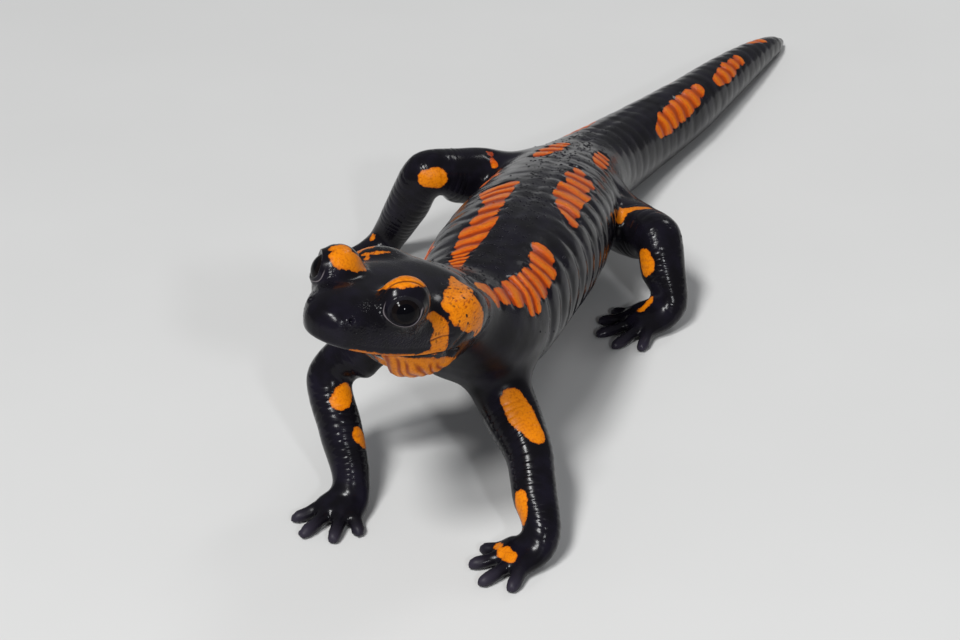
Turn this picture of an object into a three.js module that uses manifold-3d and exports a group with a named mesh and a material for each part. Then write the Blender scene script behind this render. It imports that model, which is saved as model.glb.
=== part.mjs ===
// Fire salamander, an adult standing with its fore body raised and its head turned a little to
// its right. Millimetres, +X forward along the trunk, +Y to the animal's left, +Z up. The whole
// model is moved at the end so that the origin is on the floor under the middle of its box.
//
// The body is one loft along a spine that runs from the snout to the tail's tip. Each leg is a
// loft of its own with its digits joined on, and thin gaps part the body into its named pieces.

import * as THREE from "three";
import { mergeVertices } from "three/addons/utils/BufferGeometryUtils.js";
import Module from "manifold-3d";

const wasm = await Module();
wasm.setup();

// ---- Driving dimensions -------------------------------------------------------------------

const GAP = 0.3; // clearance between pieces that touch in life

// The head's pose: turned right, nose up, and tipped a little onto its left side.
const SNOUT = new THREE.Vector3(61.0, -8.7, 37.6);
const HEAD_YAW = -19.8;
const HEAD_PITCH = 18.7;
const HEAD_ROLL = -9;
const HEAD_LENGTH = 24;

// The centre line behind the head: shoulders, trunk, hips, vent, and the tail to its tip.
const SPINE_BEHIND_HEAD = [
  [30, 0.8, 22.2],
  [10, 1.2, 18.8],
  [-10, 0.9, 14.8],
  [-30, 0.2, 10.6],
  [-43, 1.2, 7.9],
  [-60, 5.2, 5.7],
  [-79, 11.5, 4.75],
  [-98, 16.6, 3.75],
  [-113, 20.6, 2.45],
  [-126, 24, 0.5],
];

// Along the spine from the snout: distance, half width, height above and depth below the
// centre line, and the roundness of the section, where 2 is an ellipse and more is boxier.
const BODY_STATIONS = [
  [0, 0.9, 0.7, 0.8, 2.2],
  [0.4, 2.1, 1.5, 1.7, 2.2],
  [1.2, 3.0, 2.1, 2.4, 2.3],
  [2.6, 4.0, 2.7, 3.1, 2.4],
  [5, 5.2, 3.4, 4.0, 2.5],
  [9, 6.6, 4.0, 5.4, 2.5],
  [13, 7.6, 4.4, 6.7, 2.5],
  [17, 8.2, 4.6, 7.3, 2.4],
  [21, 7.9, 4.5, 6.9, 2.3],
  [24.5, 7.2, 4.3, 6.1, 2.2],
  [28, 7.2, 4.8, 6.1, 2.2],
  [32, 8.3, 6.1, 6.9, 2.2],
  [36, 9.1, 7.3, 7.8, 2.2],
  [44, 9.9, 8.2, 8.4, 2.2],
  [56, 10.6, 8.6, 8.8, 2.2],
  [68, 10.9, 8.6, 9.0, 2.2],
  [80, 10.6, 8.4, 8.6, 2.2],
  [90, 9.9, 8.0, 7.8, 2.2],
  [98, 9.2, 7.6, 7.0, 2.2],
  [107, 7.8, 7.0, 6.4, 2.1],
  [116, 6.8, 6.6, 6.0, 2.1],
  [130, 6.0, 6.0, 5.5, 2.1],
  [148, 5.0, 5.2, 4.9, 2.1],
  [168, 3.8, 4.0, 3.9, 2.1],
  [184, 2.5, 2.7, 2.6, 2.1],
  [191, 1.7, 1.8, 1.7, 2.1],
  [195, 0.7, 0.7, 0.6, 2.1],
];

// Where the thin gaps part the body, and how closely each length of it is ringed.
const BODY_PIECES = [
  { name: "head", from: 0, to: 26, rings: 16, sides: 20 },
  { name: "neck", from: 26, to: 33, rings: 4, sides: 20 },
  { name: "trunk", from: 33, to: 103, rings: 48, sides: 18 },
  { name: "tail_base", from: 103, to: 130, rings: 10, sides: 16 },
  { name: "tail_middle", from: 130, to: 163, rings: 9, sides: 14 },
  { name: "tail_tip", from: 163, to: 195, rings: 9, sides: 12 },
];

// The back turns from the head's own up to the world's up over this stretch of the spine.
const TWIST_FROM = 18;
const TWIST_TO = 38;

// Costal grooves: shallow upright furrows along the flanks.
const GROOVES = { first: 40.5, last: 95, count: 13, depth: 0.38 };

// In the head's own directions: forward of the snout (so negative), to the left, and up.
const EYE = { behind: 7.6, out: 5.1, up: 3.05, radius: 2.3 };
const LID = { behind: 8.1, side: 4.9, up: 3.2, long: 3.4, out: 3, high: 3.1, opening: 1.7 };
const EYE_AXIS = { forward: 0.7, out: 0.7, up: 0.14 };
const PAROTOID = { behind: 19.2, out: 6.15, up: 1.5, long: 5.1, thick: 2.7, high: 3.1, toe: 8 };
const MOUTH = { front: -2.2, middle: -2.55, corner: -2.95, length: 16.4, backSlope: 2.2 };

// Each leg: where it leaves the body, its middle joint and its ankle, with the thickness there.
// The foot's heading is an angle from straight forward, positive towards the animal's left.
const FORE = {
  pieces: ["upper_arm", "forearm", "hand"],
  rootRadius: 3.8, upperRadius: 3.45, jointRadius: 2.95, lowerRadius: 2.75, ankleRadius: 2.2,
  palmWidth: 3.2, palmThick: 1.6, palmLength: 4.6, digitLengths: [3.0, 4.8, 5.4, 3.8], fan: 27,
};
const HIND = {
  pieces: ["thigh", "shank", "foot"],
  rootRadius: 4.3, upperRadius: 4.0, jointRadius: 3.5, lowerRadius: 3.15, ankleRadius: 2.5,
  palmWidth: 3.7, palmThick: 1.7, palmLength: 5.8, digitLengths: [3.0, 4.8, 6.2, 6.2, 4.2], fan: 24,
};
const LEGS = [
  { ...FORE, side: 1, heading: -50, points: [[28.5, 3.5, 18], [32.4, 5.2, 14.9], [39.4, 10.5, 9.6], [47, 13.6, 3.2]] },
  { ...FORE, side: -1, heading: -12, points: [[28.5, -5, 20], [31, -11.3, 19], [33.8, -16.4, 13.8], [41.2, -11.8, 3.2]] },
  { ...HIND, side: 1, heading: -55, points: [[-33, 4, 9.4], [-28, 10.2, 8.4], [-18.6, 17, 10.8], [-14, 19.5, 3.5]] },
  { ...HIND, side: -1, heading: -32, points: [[-33, -4, 10.4], [-29, -11.5, 13.2], [-23.4, -18.6, 15.3], [-24, -25.2, 3.5]] },
];
const MIDDLE_JOINT = 3; // the elbow or knee, counted in points of a leg's path
const ANKLE = 5; // the wrist or ankle
const LEG_SIDES = 10;
const LEG_RINGS = 3; // between two neighbouring points of a leg's path
const DIGIT = { baseRadius: 1.15, midRadius: 0.95, tipRadius: 0.72, arch: 0.45, sides: 6 };
const SUNK = 0.12; // how far soles and tail are pressed flat against the floor

// ---- Small helpers ------------------------------------------------------------------------

const UP = new THREE.Vector3(0, 0, 1);
const { degToRad, smoothstep, lerp } = THREE.MathUtils;

// A smooth value from a table of rows that start with the distance.
function keyed(table, at, column) {
  const last = table.length - 1;
  let i = 0;
  while (i < last - 1 && at > table[i + 1][0]) i += 1;
  const slope = (k) => {
    const a = table[Math.max(k - 1, 0)];
    const b = table[Math.min(k + 1, last)];
    return (b[column] - a[column]) / (b[0] - a[0]);
  };
  const span = table[i + 1][0] - table[i][0];
  const s = Math.min(Math.max((at - table[i][0]) / span, 0), 1);
  const s2 = s * s;
  const s3 = s2 * s;
  return (2 * s3 - 3 * s2 + 1) * table[i][column] + (3 * s2 - 2 * s3) * table[i + 1][column]
    + span * ((s3 - 2 * s2 + s) * slope(i) + (s3 - s2) * slope(i + 1));
}

// The cross directions at a point of a path: left and up, square to the way it travels.
function crossDirections(travel, up) {
  const forward = travel.clone().negate();
  const left = up.clone().cross(forward).normalize();
  return { left, up: forward.clone().cross(left) };
}

const power = (value, exponent) => Math.sign(value) * Math.abs(value) ** exponent;

// One closed section, as a ring of points round a centre.
function ring(centre, directions, section, sides) {
  const points = [];
  for (let j = 0; j < sides; j += 1) {
    const angle = (2 * Math.PI * j) / sides;
    const across = section.width * power(Math.cos(angle), 2 / section.roundness);
    const height = angle < Math.PI ? section.above : section.below;
    const upward = height * power(Math.sin(angle), 2 / section.roundness);
    points.push(centre.clone().addScaledVector(directions.left, across)
      .addScaledVector(directions.up, upward));
  }
  return points;
}

// A closed skin over a row of rings, with a fan over each end.
function loft(rings) {
  const sides = rings[0].length;
  const corners = rings.flat();
  const index = [];
  for (let i = 0; i < rings.length - 1; i += 1) {
    for (let j = 0; j < sides; j += 1) {
      const a = i * sides + j;
      const b = i * sides + ((j + 1) % sides);
      index.push(a, a + sides, b + sides, a, b + sides, b);
    }
  }
  const fan = (row, turned) => {
    const middle = new THREE.Vector3();
    rings[row].forEach((point) => middle.addScaledVector(point, 1 / sides));
    corners.push(middle);
    for (let j = 0; j < sides; j += 1) {
      const a = row * sides + j;
      const b = row * sides + ((j + 1) % sides);
      index.push(corners.length - 1, turned ? b : a, turned ? a : b);
    }
  };
  fan(0, false);
  fan(rings.length - 1, true);
  const geometry = new THREE.BufferGeometry().setFromPoints(corners);
  geometry.setIndex(index);
  return geometry;
}

function solidOf(geometry) {
  const bare = geometry.clone();
  bare.deleteAttribute("normal");
  bare.deleteAttribute("uv");
  const merged = mergeVertices(bare, 1e-5);
  const vertProperties = new Float32Array(merged.attributes.position.array);
  const triVerts = new Uint32Array(merged.index.array);
  return new wasm.Manifold(new wasm.Mesh({ numProp: 3, vertProperties, triVerts }));
}

function geometryOf(solid) {
  const { vertProperties, triVerts } = solid.getMesh();
  const geometry = new THREE.BufferGeometry();
  geometry.setAttribute("position", new THREE.BufferAttribute(new Float32Array(vertProperties), 3));
  geometry.setIndex(new THREE.BufferAttribute(new Uint32Array(triVerts), 1));
  geometry.computeVertexNormals();
  return geometry;
}

const FLOOR = solidOf(new THREE.BoxGeometry(400, 200, 40).translate(0, 0, -20));

// ---- The head's directions and the spine ----------------------------------------------------

function headMatrix() {
  const yaw = degToRad(HEAD_YAW);
  const pitch = degToRad(HEAD_PITCH);
  const roll = degToRad(HEAD_ROLL);
  const forward = new THREE.Vector3(
    Math.cos(pitch) * Math.cos(yaw), Math.cos(pitch) * Math.sin(yaw), Math.sin(pitch));
  const level = new THREE.Vector3(-Math.sin(yaw), Math.cos(yaw), 0);
  const upright = forward.clone().cross(level);
  const left = level.clone().multiplyScalar(Math.cos(roll)).addScaledVector(upright, Math.sin(roll));
  return new THREE.Matrix4().makeBasis(forward, left, forward.clone().cross(left)).setPosition(SNOUT);
}

const HEAD = headMatrix();
const HEAD_UP = new THREE.Vector3().setFromMatrixColumn(HEAD, 2);
const headPoint = (behind, left, up) => new THREE.Vector3(-behind, left, up).applyMatrix4(HEAD);

const headStations = [0, 1, 2, 3].map((k) => headPoint((k * HEAD_LENGTH) / 3, 0, 0));
const spine = new THREE.CatmullRomCurve3(
  [...headStations, ...SPINE_BEHIND_HEAD.map((point) => new THREE.Vector3(...point))]);
spine.arcLengthDivisions = 2000;
const SPINE_LENGTH = spine.getLength();

// The groove pattern: 0 on the ribs between furrows, 1 in the middle of a furrow.
function furrow(distance) {
  const { first, last, count } = GROOVES;
  const step = (last - first) / (count - 1);
  if (distance < first - step / 2 || distance > last + step / 2) return 0;
  const phase = (distance - first) / step;
  return Math.exp(-(((phase - Math.round(phase)) / 0.16) ** 2));
}

function bodyRing(distance, sides, grow) {
  const share = Math.min(distance / SPINE_LENGTH, 1);
  const centre = spine.getPointAt(share);
  const lean = smoothstep(distance, TWIST_FROM, TWIST_TO);
  const up = HEAD_UP.clone().lerp(UP, lean);
  const directions = crossDirections(spine.getTangentAt(share), up);
  const section = {
    width: keyed(BODY_STATIONS, distance, 1) + grow - GROOVES.depth * furrow(distance),
    above: keyed(BODY_STATIONS, distance, 2) + grow,
    below: keyed(BODY_STATIONS, distance, 3) + grow,
    roundness: keyed(BODY_STATIONS, distance, 4),
  };
  return ring(centre, directions, section, sides);
}

// A length of the body. Rings crowd towards the snout, where it rounds off.
function bodyLength({ from, to, rings, sides }, grow = 0) {
  const tip = from === 0 ? 2 : 1;
  const rows = [];
  for (let i = 0; i <= rings; i += 1) {
    rows.push(bodyRing(from + (to - from) * (i / rings) ** tip, sides, grow));
  }
  return solidOf(loft(rows));
}

// ---- Head pieces ----------------------------------------------------------------------------

function ellipsoid(centre, long, thick, high, turn) {
  const shape = new THREE.SphereGeometry(1, 12, 8).rotateX(Math.PI / 2);
  shape.scale(long, thick, high).rotateZ(degToRad(turn)).translate(...centre);
  return solidOf(shape.applyMatrix4(HEAD));
}

const parotoid = (side, grow) => ellipsoid([-PAROTOID.behind, side * PAROTOID.out, PAROTOID.up],
  PAROTOID.long + grow, PAROTOID.thick + grow, PAROTOID.high + grow, side * PAROTOID.toe);

// The raised lids round an eye.
const lids = (side) => ellipsoid([-LID.behind, side * LID.side, LID.up],
  LID.long, LID.out, LID.high, 0);

// The room for the eyeball, with the round opening between the lids.
function eyeRoom(side) {
  const centre = headPoint(EYE.behind, side * EYE.out, EYE.up);
  const ball = new THREE.SphereGeometry(EYE.radius + GAP, 12, 7).translate(...centre.toArray());
  const axis = new THREE.Vector3(EYE_AXIS.forward, side * EYE_AXIS.out, EYE_AXIS.up)
    .transformDirection(HEAD);
  const opening = new THREE.CylinderGeometry(LID.opening, LID.opening, 2 * EYE.radius, 12)
    .translate(0, EYE.radius, 0)
    .applyQuaternion(new THREE.Quaternion().setFromUnitVectors(new THREE.Vector3(0, 1, 0), axis))
    .translate(...centre.toArray());
  return solidOf(ball).add(solidOf(opening));
}

// All that lies below the line of the closed mouth, back to the corner of the jaw.
function belowMouth(grow) {
  const line = new THREE.Shape();
  const deep = -20;
  line.moveTo(5, MOUTH.front + grow);
  line.lineTo(0, MOUTH.front + grow);
  line.quadraticCurveTo(-MOUTH.length / 2, MOUTH.middle + grow, -MOUTH.length - grow, MOUTH.corner + grow);
  line.lineTo(-MOUTH.length - MOUTH.backSlope - grow, deep);
  line.lineTo(5, deep);
  const block = new THREE.ExtrudeGeometry(line, { depth: 40, bevelEnabled: false, curveSegments: 4 });
  return solidOf(block.rotateX(Math.PI / 2).translate(0, 20, 0).applyMatrix4(HEAD));
}

// ---- Legs -----------------------------------------------------------------------------------

function legPath(leg) {
  const heading = degToRad(leg.heading);
  const ahead = new THREE.Vector3(Math.cos(heading), Math.sin(heading), 0);
  const points = leg.points.map((point) => new THREE.Vector3(...point));
  const ankle = points[3];
  const sole = leg.palmThick - SUNK;
  const onSole = (far) => ankle.clone().addScaledVector(ahead, far).setZ(sole);
  points.push(onSole(leg.palmLength * 0.55), onSole(leg.palmLength));
  const middle = (a, b, share) => points[a].clone().lerp(points[b], share);
  return { ahead, palm: points[4], curve: new THREE.CatmullRomCurve3(
    [points[0], points[1], middle(1, 2, 0.5), points[2], middle(2, 3, 0.5), ankle, points[4], points[5]]) };
}

// Half widths and half thicknesses at the points of a leg's path.
const legSections = (leg) => [
  [0, leg.rootRadius, leg.rootRadius],
  [1, leg.rootRadius, leg.rootRadius],
  [2, leg.upperRadius, leg.upperRadius],
  [3, leg.jointRadius, leg.jointRadius],
  [4, leg.lowerRadius, leg.lowerRadius],
  [5, leg.ankleRadius * 1.08, leg.ankleRadius],
  [6, leg.palmWidth, leg.palmThick],
  [7, leg.palmWidth * 0.62, leg.palmThick * 0.62],
];

// Which way a leg travels at a place counted in points of its path, taken over a long enough
// chord that the sections fan smoothly round a bent joint.
function travelAt(path, at) {
  const last = path.curve.points.length - 1;
  const before = path.curve.getPoint(Math.max(at - 1, 0) / last);
  const after = path.curve.getPoint(Math.min(at + 1, last) / last);
  return after.sub(before).normalize();
}

// A leg's loft between two points of its path, where 0 is its root and 7 the end of the palm.
function legSolid(leg, path, from, to) {
  const sections = legSections(leg);
  const last = sections.length - 1;
  const rows = [];
  for (let i = from * LEG_RINGS; i <= to * LEG_RINGS + 0.5; i += 1) {
    const at = i / LEG_RINGS;
    const directions = crossDirections(travelAt(path, at), UP);
    const thick = keyed(sections, at, 2);
    const section = { width: keyed(sections, at, 1), above: thick, below: thick, roundness: 2.1 };
    rows.push(ring(path.curve.getPoint(at / last), directions, section, LEG_SIDES));
  }
  return solidOf(loft(rows));
}

// What lies beyond a joint, or before it, with half of the gap taken from either side.
function cutAt(solid, path, joint, beyond) {
  const share = joint / (path.curve.points.length - 1);
  const normal = travelAt(path, joint).multiplyScalar(beyond ? 1 : -1);
  const place = path.curve.getPoint(share).dot(normal) + GAP / 2;
  return solid.trimByPlane(normal.toArray(), place);
}

// One digit, from inside the palm to its rounded tip.
function digit(leg, path, number) {
  const place = number - (leg.digitLengths.length - 1) / 2;
  const turn = degToRad(leg.side * place * leg.fan);
  const way = path.ahead.clone().applyAxisAngle(UP, turn);
  const across = path.ahead.clone().applyAxisAngle(UP, Math.PI / 2);
  const spread = (leg.side * place * leg.palmWidth * 1.1) / leg.digitLengths.length;
  const base = path.palm.clone().addScaledVector(across, spread);
  const reach = leg.palmWidth * 0.55 + leg.digitLengths[number];
  const sole = DIGIT.tipRadius - SUNK;
  const shape = [
    [0, DIGIT.baseRadius], [0.5, DIGIT.midRadius], [0.88, DIGIT.tipRadius],
    [1, DIGIT.tipRadius * 0.4],
  ];
  const rows = shape.map(([share, radius]) => {
    const centre = base.clone().addScaledVector(way, reach * share);
    const lift = DIGIT.arch * Math.sin(Math.PI * share);
    centre.z = lerp(base.z, sole, smoothstep(share, 0, 0.8)) + lift * 0.5;
    const section = { width: radius, above: radius, below: radius, roundness: 2 };
    return ring(centre, crossDirections(way, UP), section, DIGIT.sides);
  });
  return solidOf(loft(rows));
}

// ---- Materials and assembly -------------------------------------------------------------------

const skin = new THREE.MeshStandardMaterial({ color: 0x0c0b0e, roughness: 0.3, metalness: 0 });
const gland = new THREE.MeshStandardMaterial({ color: 0xf08a12, roughness: 0.35, metalness: 0 });
const eye = new THREE.MeshStandardMaterial({ color: 0x050507, roughness: 0.05, metalness: 0 });

const salamander = new THREE.Group();

function addPiece(name, solid, material = skin) {
  const mesh = new THREE.Mesh(geometryOf(solid), material);
  mesh.name = name;
  salamander.add(mesh);
}

const sideName = (side) => (side > 0 ? "left" : "right");

function addBody() {
  const mouth = belowMouth(0);
  for (const piece of BODY_PIECES) {
    const start = piece.from === 0 ? 0 : piece.from + GAP / 2;
    const end = piece.name === "tail_tip" ? piece.to : piece.to - GAP / 2;
    let solid = bodyLength({ ...piece, from: start, to: end });
    if (piece.name === "head") {
      for (const side of [1, -1]) {
        solid = solid.add(lids(side)).subtract(eyeRoom(side)).subtract(parotoid(side, GAP));
        addPiece(`parotoid_${sideName(side)}`, parotoid(side, 0), gland);
      }
      addPiece("lower_jaw", solid.intersect(mouth));
      solid = solid.subtract(belowMouth(GAP));
    }
    if (piece.name.startsWith("tail")) solid = solid.subtract(FLOOR);
    addPiece(piece.name, solid);
  }
}

function addEyes() {
  for (const side of [1, -1]) {
    const ball = new THREE.Mesh(new THREE.SphereGeometry(EYE.radius, 12, 8), eye);
    ball.name = `eye_${sideName(side)}`;
    ball.position.copy(headPoint(EYE.behind, side * EYE.out, EYE.up));
    salamander.add(ball);
  }
}

function addLegs() {
  const body = bodyLength({ from: 24, to: 110, rings: 36, sides: 16 }, GAP);
  for (const leg of LEGS) {
    const path = legPath(leg);
    const [upper, lower, foot] = leg.pieces.map((piece) => `${piece}_${sideName(leg.side)}`);
    const ringBefore = 1 / LEG_RINGS;
    const toJoint = cutAt(legSolid(leg, path, 0, MIDDLE_JOINT + ringBefore), path, MIDDLE_JOINT, false);
    const toAnkle = cutAt(
      legSolid(leg, path, MIDDLE_JOINT - ringBefore, ANKLE + ringBefore), path, ANKLE, false);
    let end = cutAt(legSolid(leg, path, ANKLE - ringBefore, 7), path, ANKLE, true);
    for (let k = 0; k < leg.digitLengths.length; k += 1) end = end.add(digit(leg, path, k));
    addPiece(upper, toJoint.subtract(body));
    addPiece(lower, cutAt(toAnkle, path, MIDDLE_JOINT, true));
    addPiece(foot, end.subtract(FLOOR));
  }
}

addBody();
addEyes();
addLegs();

// The origin goes on the floor under the middle of the box.
const box = new THREE.Box3().setFromObject(salamander);
const middle = box.getCenter(new THREE.Vector3());
salamander.position.set(-middle.x, -middle.y, -box.min.z);

export default salamander;
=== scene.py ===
"""Fire salamander, life size: one skin over the body, the eyes, and small glands on back and face.

The body is worked out in millimetres in its own frame (+X forward, +Y to the animal's left, +Z up,
zero on the floor under the middle of the trunk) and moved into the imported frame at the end.
"""

import bmesh
import bpy
import numpy as np
import openvdb
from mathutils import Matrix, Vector, noise


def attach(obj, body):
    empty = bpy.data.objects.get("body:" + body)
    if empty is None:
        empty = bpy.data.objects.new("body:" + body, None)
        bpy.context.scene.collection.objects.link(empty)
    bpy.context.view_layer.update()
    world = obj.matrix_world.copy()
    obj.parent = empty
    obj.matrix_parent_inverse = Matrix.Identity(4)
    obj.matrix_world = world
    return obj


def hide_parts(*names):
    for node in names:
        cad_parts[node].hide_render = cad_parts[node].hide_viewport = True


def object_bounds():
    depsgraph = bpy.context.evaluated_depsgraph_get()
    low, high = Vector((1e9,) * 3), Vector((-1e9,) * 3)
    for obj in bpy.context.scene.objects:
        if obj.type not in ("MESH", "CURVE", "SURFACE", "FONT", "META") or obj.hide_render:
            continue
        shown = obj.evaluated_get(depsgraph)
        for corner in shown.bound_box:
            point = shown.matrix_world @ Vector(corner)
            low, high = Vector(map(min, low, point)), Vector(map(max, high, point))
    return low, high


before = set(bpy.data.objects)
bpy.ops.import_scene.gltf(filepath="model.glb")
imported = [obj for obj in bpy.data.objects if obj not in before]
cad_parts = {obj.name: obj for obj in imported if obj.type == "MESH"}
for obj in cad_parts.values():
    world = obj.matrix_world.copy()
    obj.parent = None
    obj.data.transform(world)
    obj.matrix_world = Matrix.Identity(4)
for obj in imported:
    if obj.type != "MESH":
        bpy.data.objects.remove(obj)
cad_box = [list(corner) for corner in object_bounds()]


# ---- Driving dimensions, in millimetres and degrees ----

MM = 0.001

SNOUT = np.array([61.0, -8.7, 37.6])
HEAD_YAW, HEAD_PITCH, HEAD_ROLL = np.radians([-19.8, 18.7, -9.0])
HEAD_LENGTH = 24.0

SPINE_BEHIND_HEAD = [
    (30, 0.8, 22.2),
    (10, 1.2, 18.8),
    (-10, 0.9, 14.8),
    (-30, 0.2, 10.6),
    (-43, 1.2, 7.9),
    (-60, 5.2, 5.7),
    (-79, 11.5, 4.75),
    (-98, 16.6, 3.75),
    (-113, 20.6, 2.45),
    (-126, 24, 0.5),
]

# distance from the snout, half width, height above, depth below, roundness of the section
BODY_STATIONS = np.array([
    (0, 0.9, 0.7, 0.8, 2.2),
    (0.4, 2.1, 1.5, 1.7, 2.2),
    (1.2, 3.0, 2.1, 2.4, 2.3),
    (2.6, 4.0, 2.7, 3.1, 2.4),
    (5, 5.2, 3.4, 4.0, 2.5),
    (9, 6.6, 4.0, 5.4, 2.5),
    (13, 7.6, 4.4, 6.7, 2.5),
    (17, 8.2, 4.6, 7.3, 2.4),
    (21, 7.9, 4.5, 6.9, 2.3),
    (24.5, 7.2, 4.3, 6.1, 2.2),
    (28, 7.2, 4.8, 6.1, 2.2),
    (32, 8.3, 6.1, 6.9, 2.2),
    (36, 9.1, 7.3, 7.8, 2.2),
    (44, 9.9, 8.2, 8.4, 2.2),
    (56, 10.6, 8.6, 8.8, 2.2),
    (68, 10.9, 8.6, 9.0, 2.2),
    (80, 10.6, 8.4, 8.6, 2.2),
    (90, 9.9, 8.0, 7.8, 2.2),
    (98, 9.2, 7.6, 7.0, 2.2),
    (107, 7.8, 7.0, 6.4, 2.1),
    (116, 6.8, 6.6, 6.0, 2.1),
    (130, 6.0, 6.0, 5.5, 2.1),
    (148, 5.0, 5.2, 4.9, 2.1),
    (168, 3.8, 4.0, 3.9, 2.1),
    (184, 2.5, 2.7, 2.6, 2.1),
    (191, 1.7, 1.8, 1.7, 2.1),
    (195, 0.7, 0.7, 0.6, 2.1),
])
BODY_LENGTH = BODY_STATIONS[-1, 0]
TWIST_FROM, TWIST_TO = 18.0, 38.0

GROOVES = dict(first=40.5, last=95.0, count=13, depth=0.38)

EYE = dict(behind=7.6, out=5.1, up=3.05, radius=2.3, looks=(0.7, 0.7, 0.14))
LID = dict(behind=8.2, side=4.8, up={1: 3.5, -1: 3.2}, long=3.3, out=2.85, high=3.2)
PAROTOID = dict(behind=19.2, out=6.15, up=1.5, long=5.1, thick=2.7, high=3.1, toe=8.0)

FORE = dict(
    root=3.8, upper=3.45, joint=2.95, lower=2.75, ankle=2.2, palm_width=3.2, palm_thick=1.6,
    palm_length=4.6, digits=(3.0, 4.8, 5.4, 3.8), fan=27.0,
)
HIND = dict(
    root=4.3, upper=4.0, joint=3.5, lower=3.15, ankle=2.5, palm_width=3.7, palm_thick=1.7,
    palm_length=5.8, digits=(3.0, 4.8, 6.2, 6.2, 4.2), fan=24.0,
)
LEGS = dict(
    fore_left=dict(FORE, side=1, heading=-50.0, points=[
        (28.5, 3.5, 18), (32.4, 5.2, 14.9), (39.4, 10.5, 9.6), (47, 13.6, 3.2)]),
    fore_right=dict(FORE, side=-1, heading=-12.0, points=[
        (28.5, -5, 20), (31, -11.3, 19), (33.8, -16.4, 13.8), (41.2, -11.8, 3.2)]),
    hind_left=dict(HIND, side=1, heading=-55.0, points=[
        (-33, 4, 9.4), (-28, 10.2, 8.4), (-18.6, 17, 10.8), (-14, 19.5, 3.5)]),
    hind_right=dict(HIND, side=-1, heading=-32.0, points=[
        (-33, -4, 10.4), (-29, -11.5, 13.2), (-23.4, -18.6, 15.3), (-24, -25.2, 3.5)]),
)
DIGIT = dict(base=1.15, middle=0.95, tip=0.72, arch=0.45)
SUNK = 0.12  # how far the soles go into the floor before they are cut flat

# faces round each shell
BODY_SIDES, LEG_SIDES, DIGIT_SIDES, GLAND_SIDES, EYE_SIDES = 72, 32, 20, 40, 96
LEG_ROUNDNESS = 2.1  # 2 is an ellipse, and more is squarer

VOXEL = 0.45  # grid step of the body before its skin is refined
BAND = 8  # voxels either side of the surface that hold true distances


# ---- Small helpers ----


def smoothstep(value, low, high):
    share = np.clip((np.asarray(value, float) - low) / (high - low), 0, 1)
    return share * share * (3 - 2 * share)


def between(value, rise, fall):
    """1 between two places, rising over the first pair and falling over the second."""
    return smoothstep(value, *rise) * (1 - smoothstep(value, *fall))


def bell(value, width):
    """1 at zero, falling off smoothly over the width."""
    return np.exp(-((np.asarray(value, float) / width) ** 2))


def unit(vectors):
    vectors = np.asarray(vectors, float)
    return vectors / np.maximum(np.linalg.norm(vectors, axis=-1, keepdims=True), 1e-9)


def distance_between(points, others):
    return np.linalg.norm(points - others, axis=-1)


def power(value, exponent):
    return np.sign(value) * np.abs(value) ** exponent


def keyed(table, at):
    """Smooth values between the rows of a table, which start with the distance: an array a column."""
    table = np.asarray(table, float)
    at = np.atleast_1d(np.asarray(at, float))
    key = table[:, 0]
    last = len(table) - 1
    before = np.maximum(np.arange(last + 1) - 1, 0)
    after = np.minimum(np.arange(last + 1) + 1, last)
    slope = (table[after] - table[before]) / (key[after] - key[before])[:, None]
    i = np.clip(np.searchsorted(key, at, side="left") - 1, 0, last - 1)
    span = (key[i + 1] - key[i])[:, None]
    s = np.clip((at - key[i])[:, None] / span, 0, 1)
    s2, s3 = s * s, s * s * s
    values = (2 * s3 - 3 * s2 + 1) * table[i] + (3 * s2 - 2 * s3) * table[i + 1]
    values = values + span * ((s3 - 2 * s2 + s) * slope[i] + (s3 - s2) * slope[i + 1])
    return values[:, 1:].T


class Path:
    """A centripetal Catmull-Rom curve through points, counted in points from 0 to the last."""

    def __init__(self, points):
        self.points = np.asarray(points, float)
        first = 2 * self.points[0] - self.points[1]
        end = 2 * self.points[-1] - self.points[-2]
        self.padded = np.vstack([first, self.points, end])
        self.last = len(self.points) - 1

    def at(self, place):
        place = np.clip(np.atleast_1d(np.asarray(place, float)), 0, self.last)
        i = np.minimum(place.astype(int), self.last - 1)
        w = (place - i)[:, None]
        p0, p1, p2, p3 = (self.padded[i + k] for k in range(4))
        d0, d1, d2 = (np.linalg.norm(b - a, axis=1)[:, None] ** 0.5
                      for a, b in ((p0, p1), (p1, p2), (p2, p3)))
        t1 = ((p1 - p0) / d0 - (p2 - p0) / (d0 + d1) + (p2 - p1) / d1) * d1
        t2 = ((p2 - p1) / d1 - (p3 - p1) / (d1 + d2) + (p3 - p2) / d2) * d1
        return (p1 + t1 * w + (-3 * p1 + 3 * p2 - 2 * t1 - t2) * w**2
                + (2 * p1 - 2 * p2 + t1 + t2) * w**3)

    def travel(self, place, reach):
        """Which way the path goes, taken over a chord of that reach either side."""
        return unit(self.at(np.asarray(place) + reach) - self.at(np.asarray(place) - reach))


def cross_directions(travel, up):
    """Left and up, square to the way a path travels."""
    forward = -travel
    left = unit(np.cross(np.broadcast_to(up, forward.shape), forward))
    return left, np.cross(forward, left)


def rings(centres, left, up, width, above, below, sides, roundness=2.0):
    """Closed sections round the centres: an array of rings, points and coordinates."""
    angle = np.linspace(0, 2 * np.pi, sides, endpoint=False)
    exponent = 2 / np.broadcast_to(roundness, width.shape)[:, None]
    across = width[:, None] * power(np.cos(angle), exponent)
    height = np.where(angle < np.pi, above[:, None], below[:, None])
    upward = height * power(np.sin(angle), exponent)
    return centres[:, None] + across[..., None] * left[:, None] + upward[..., None] * up[:, None]


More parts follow.
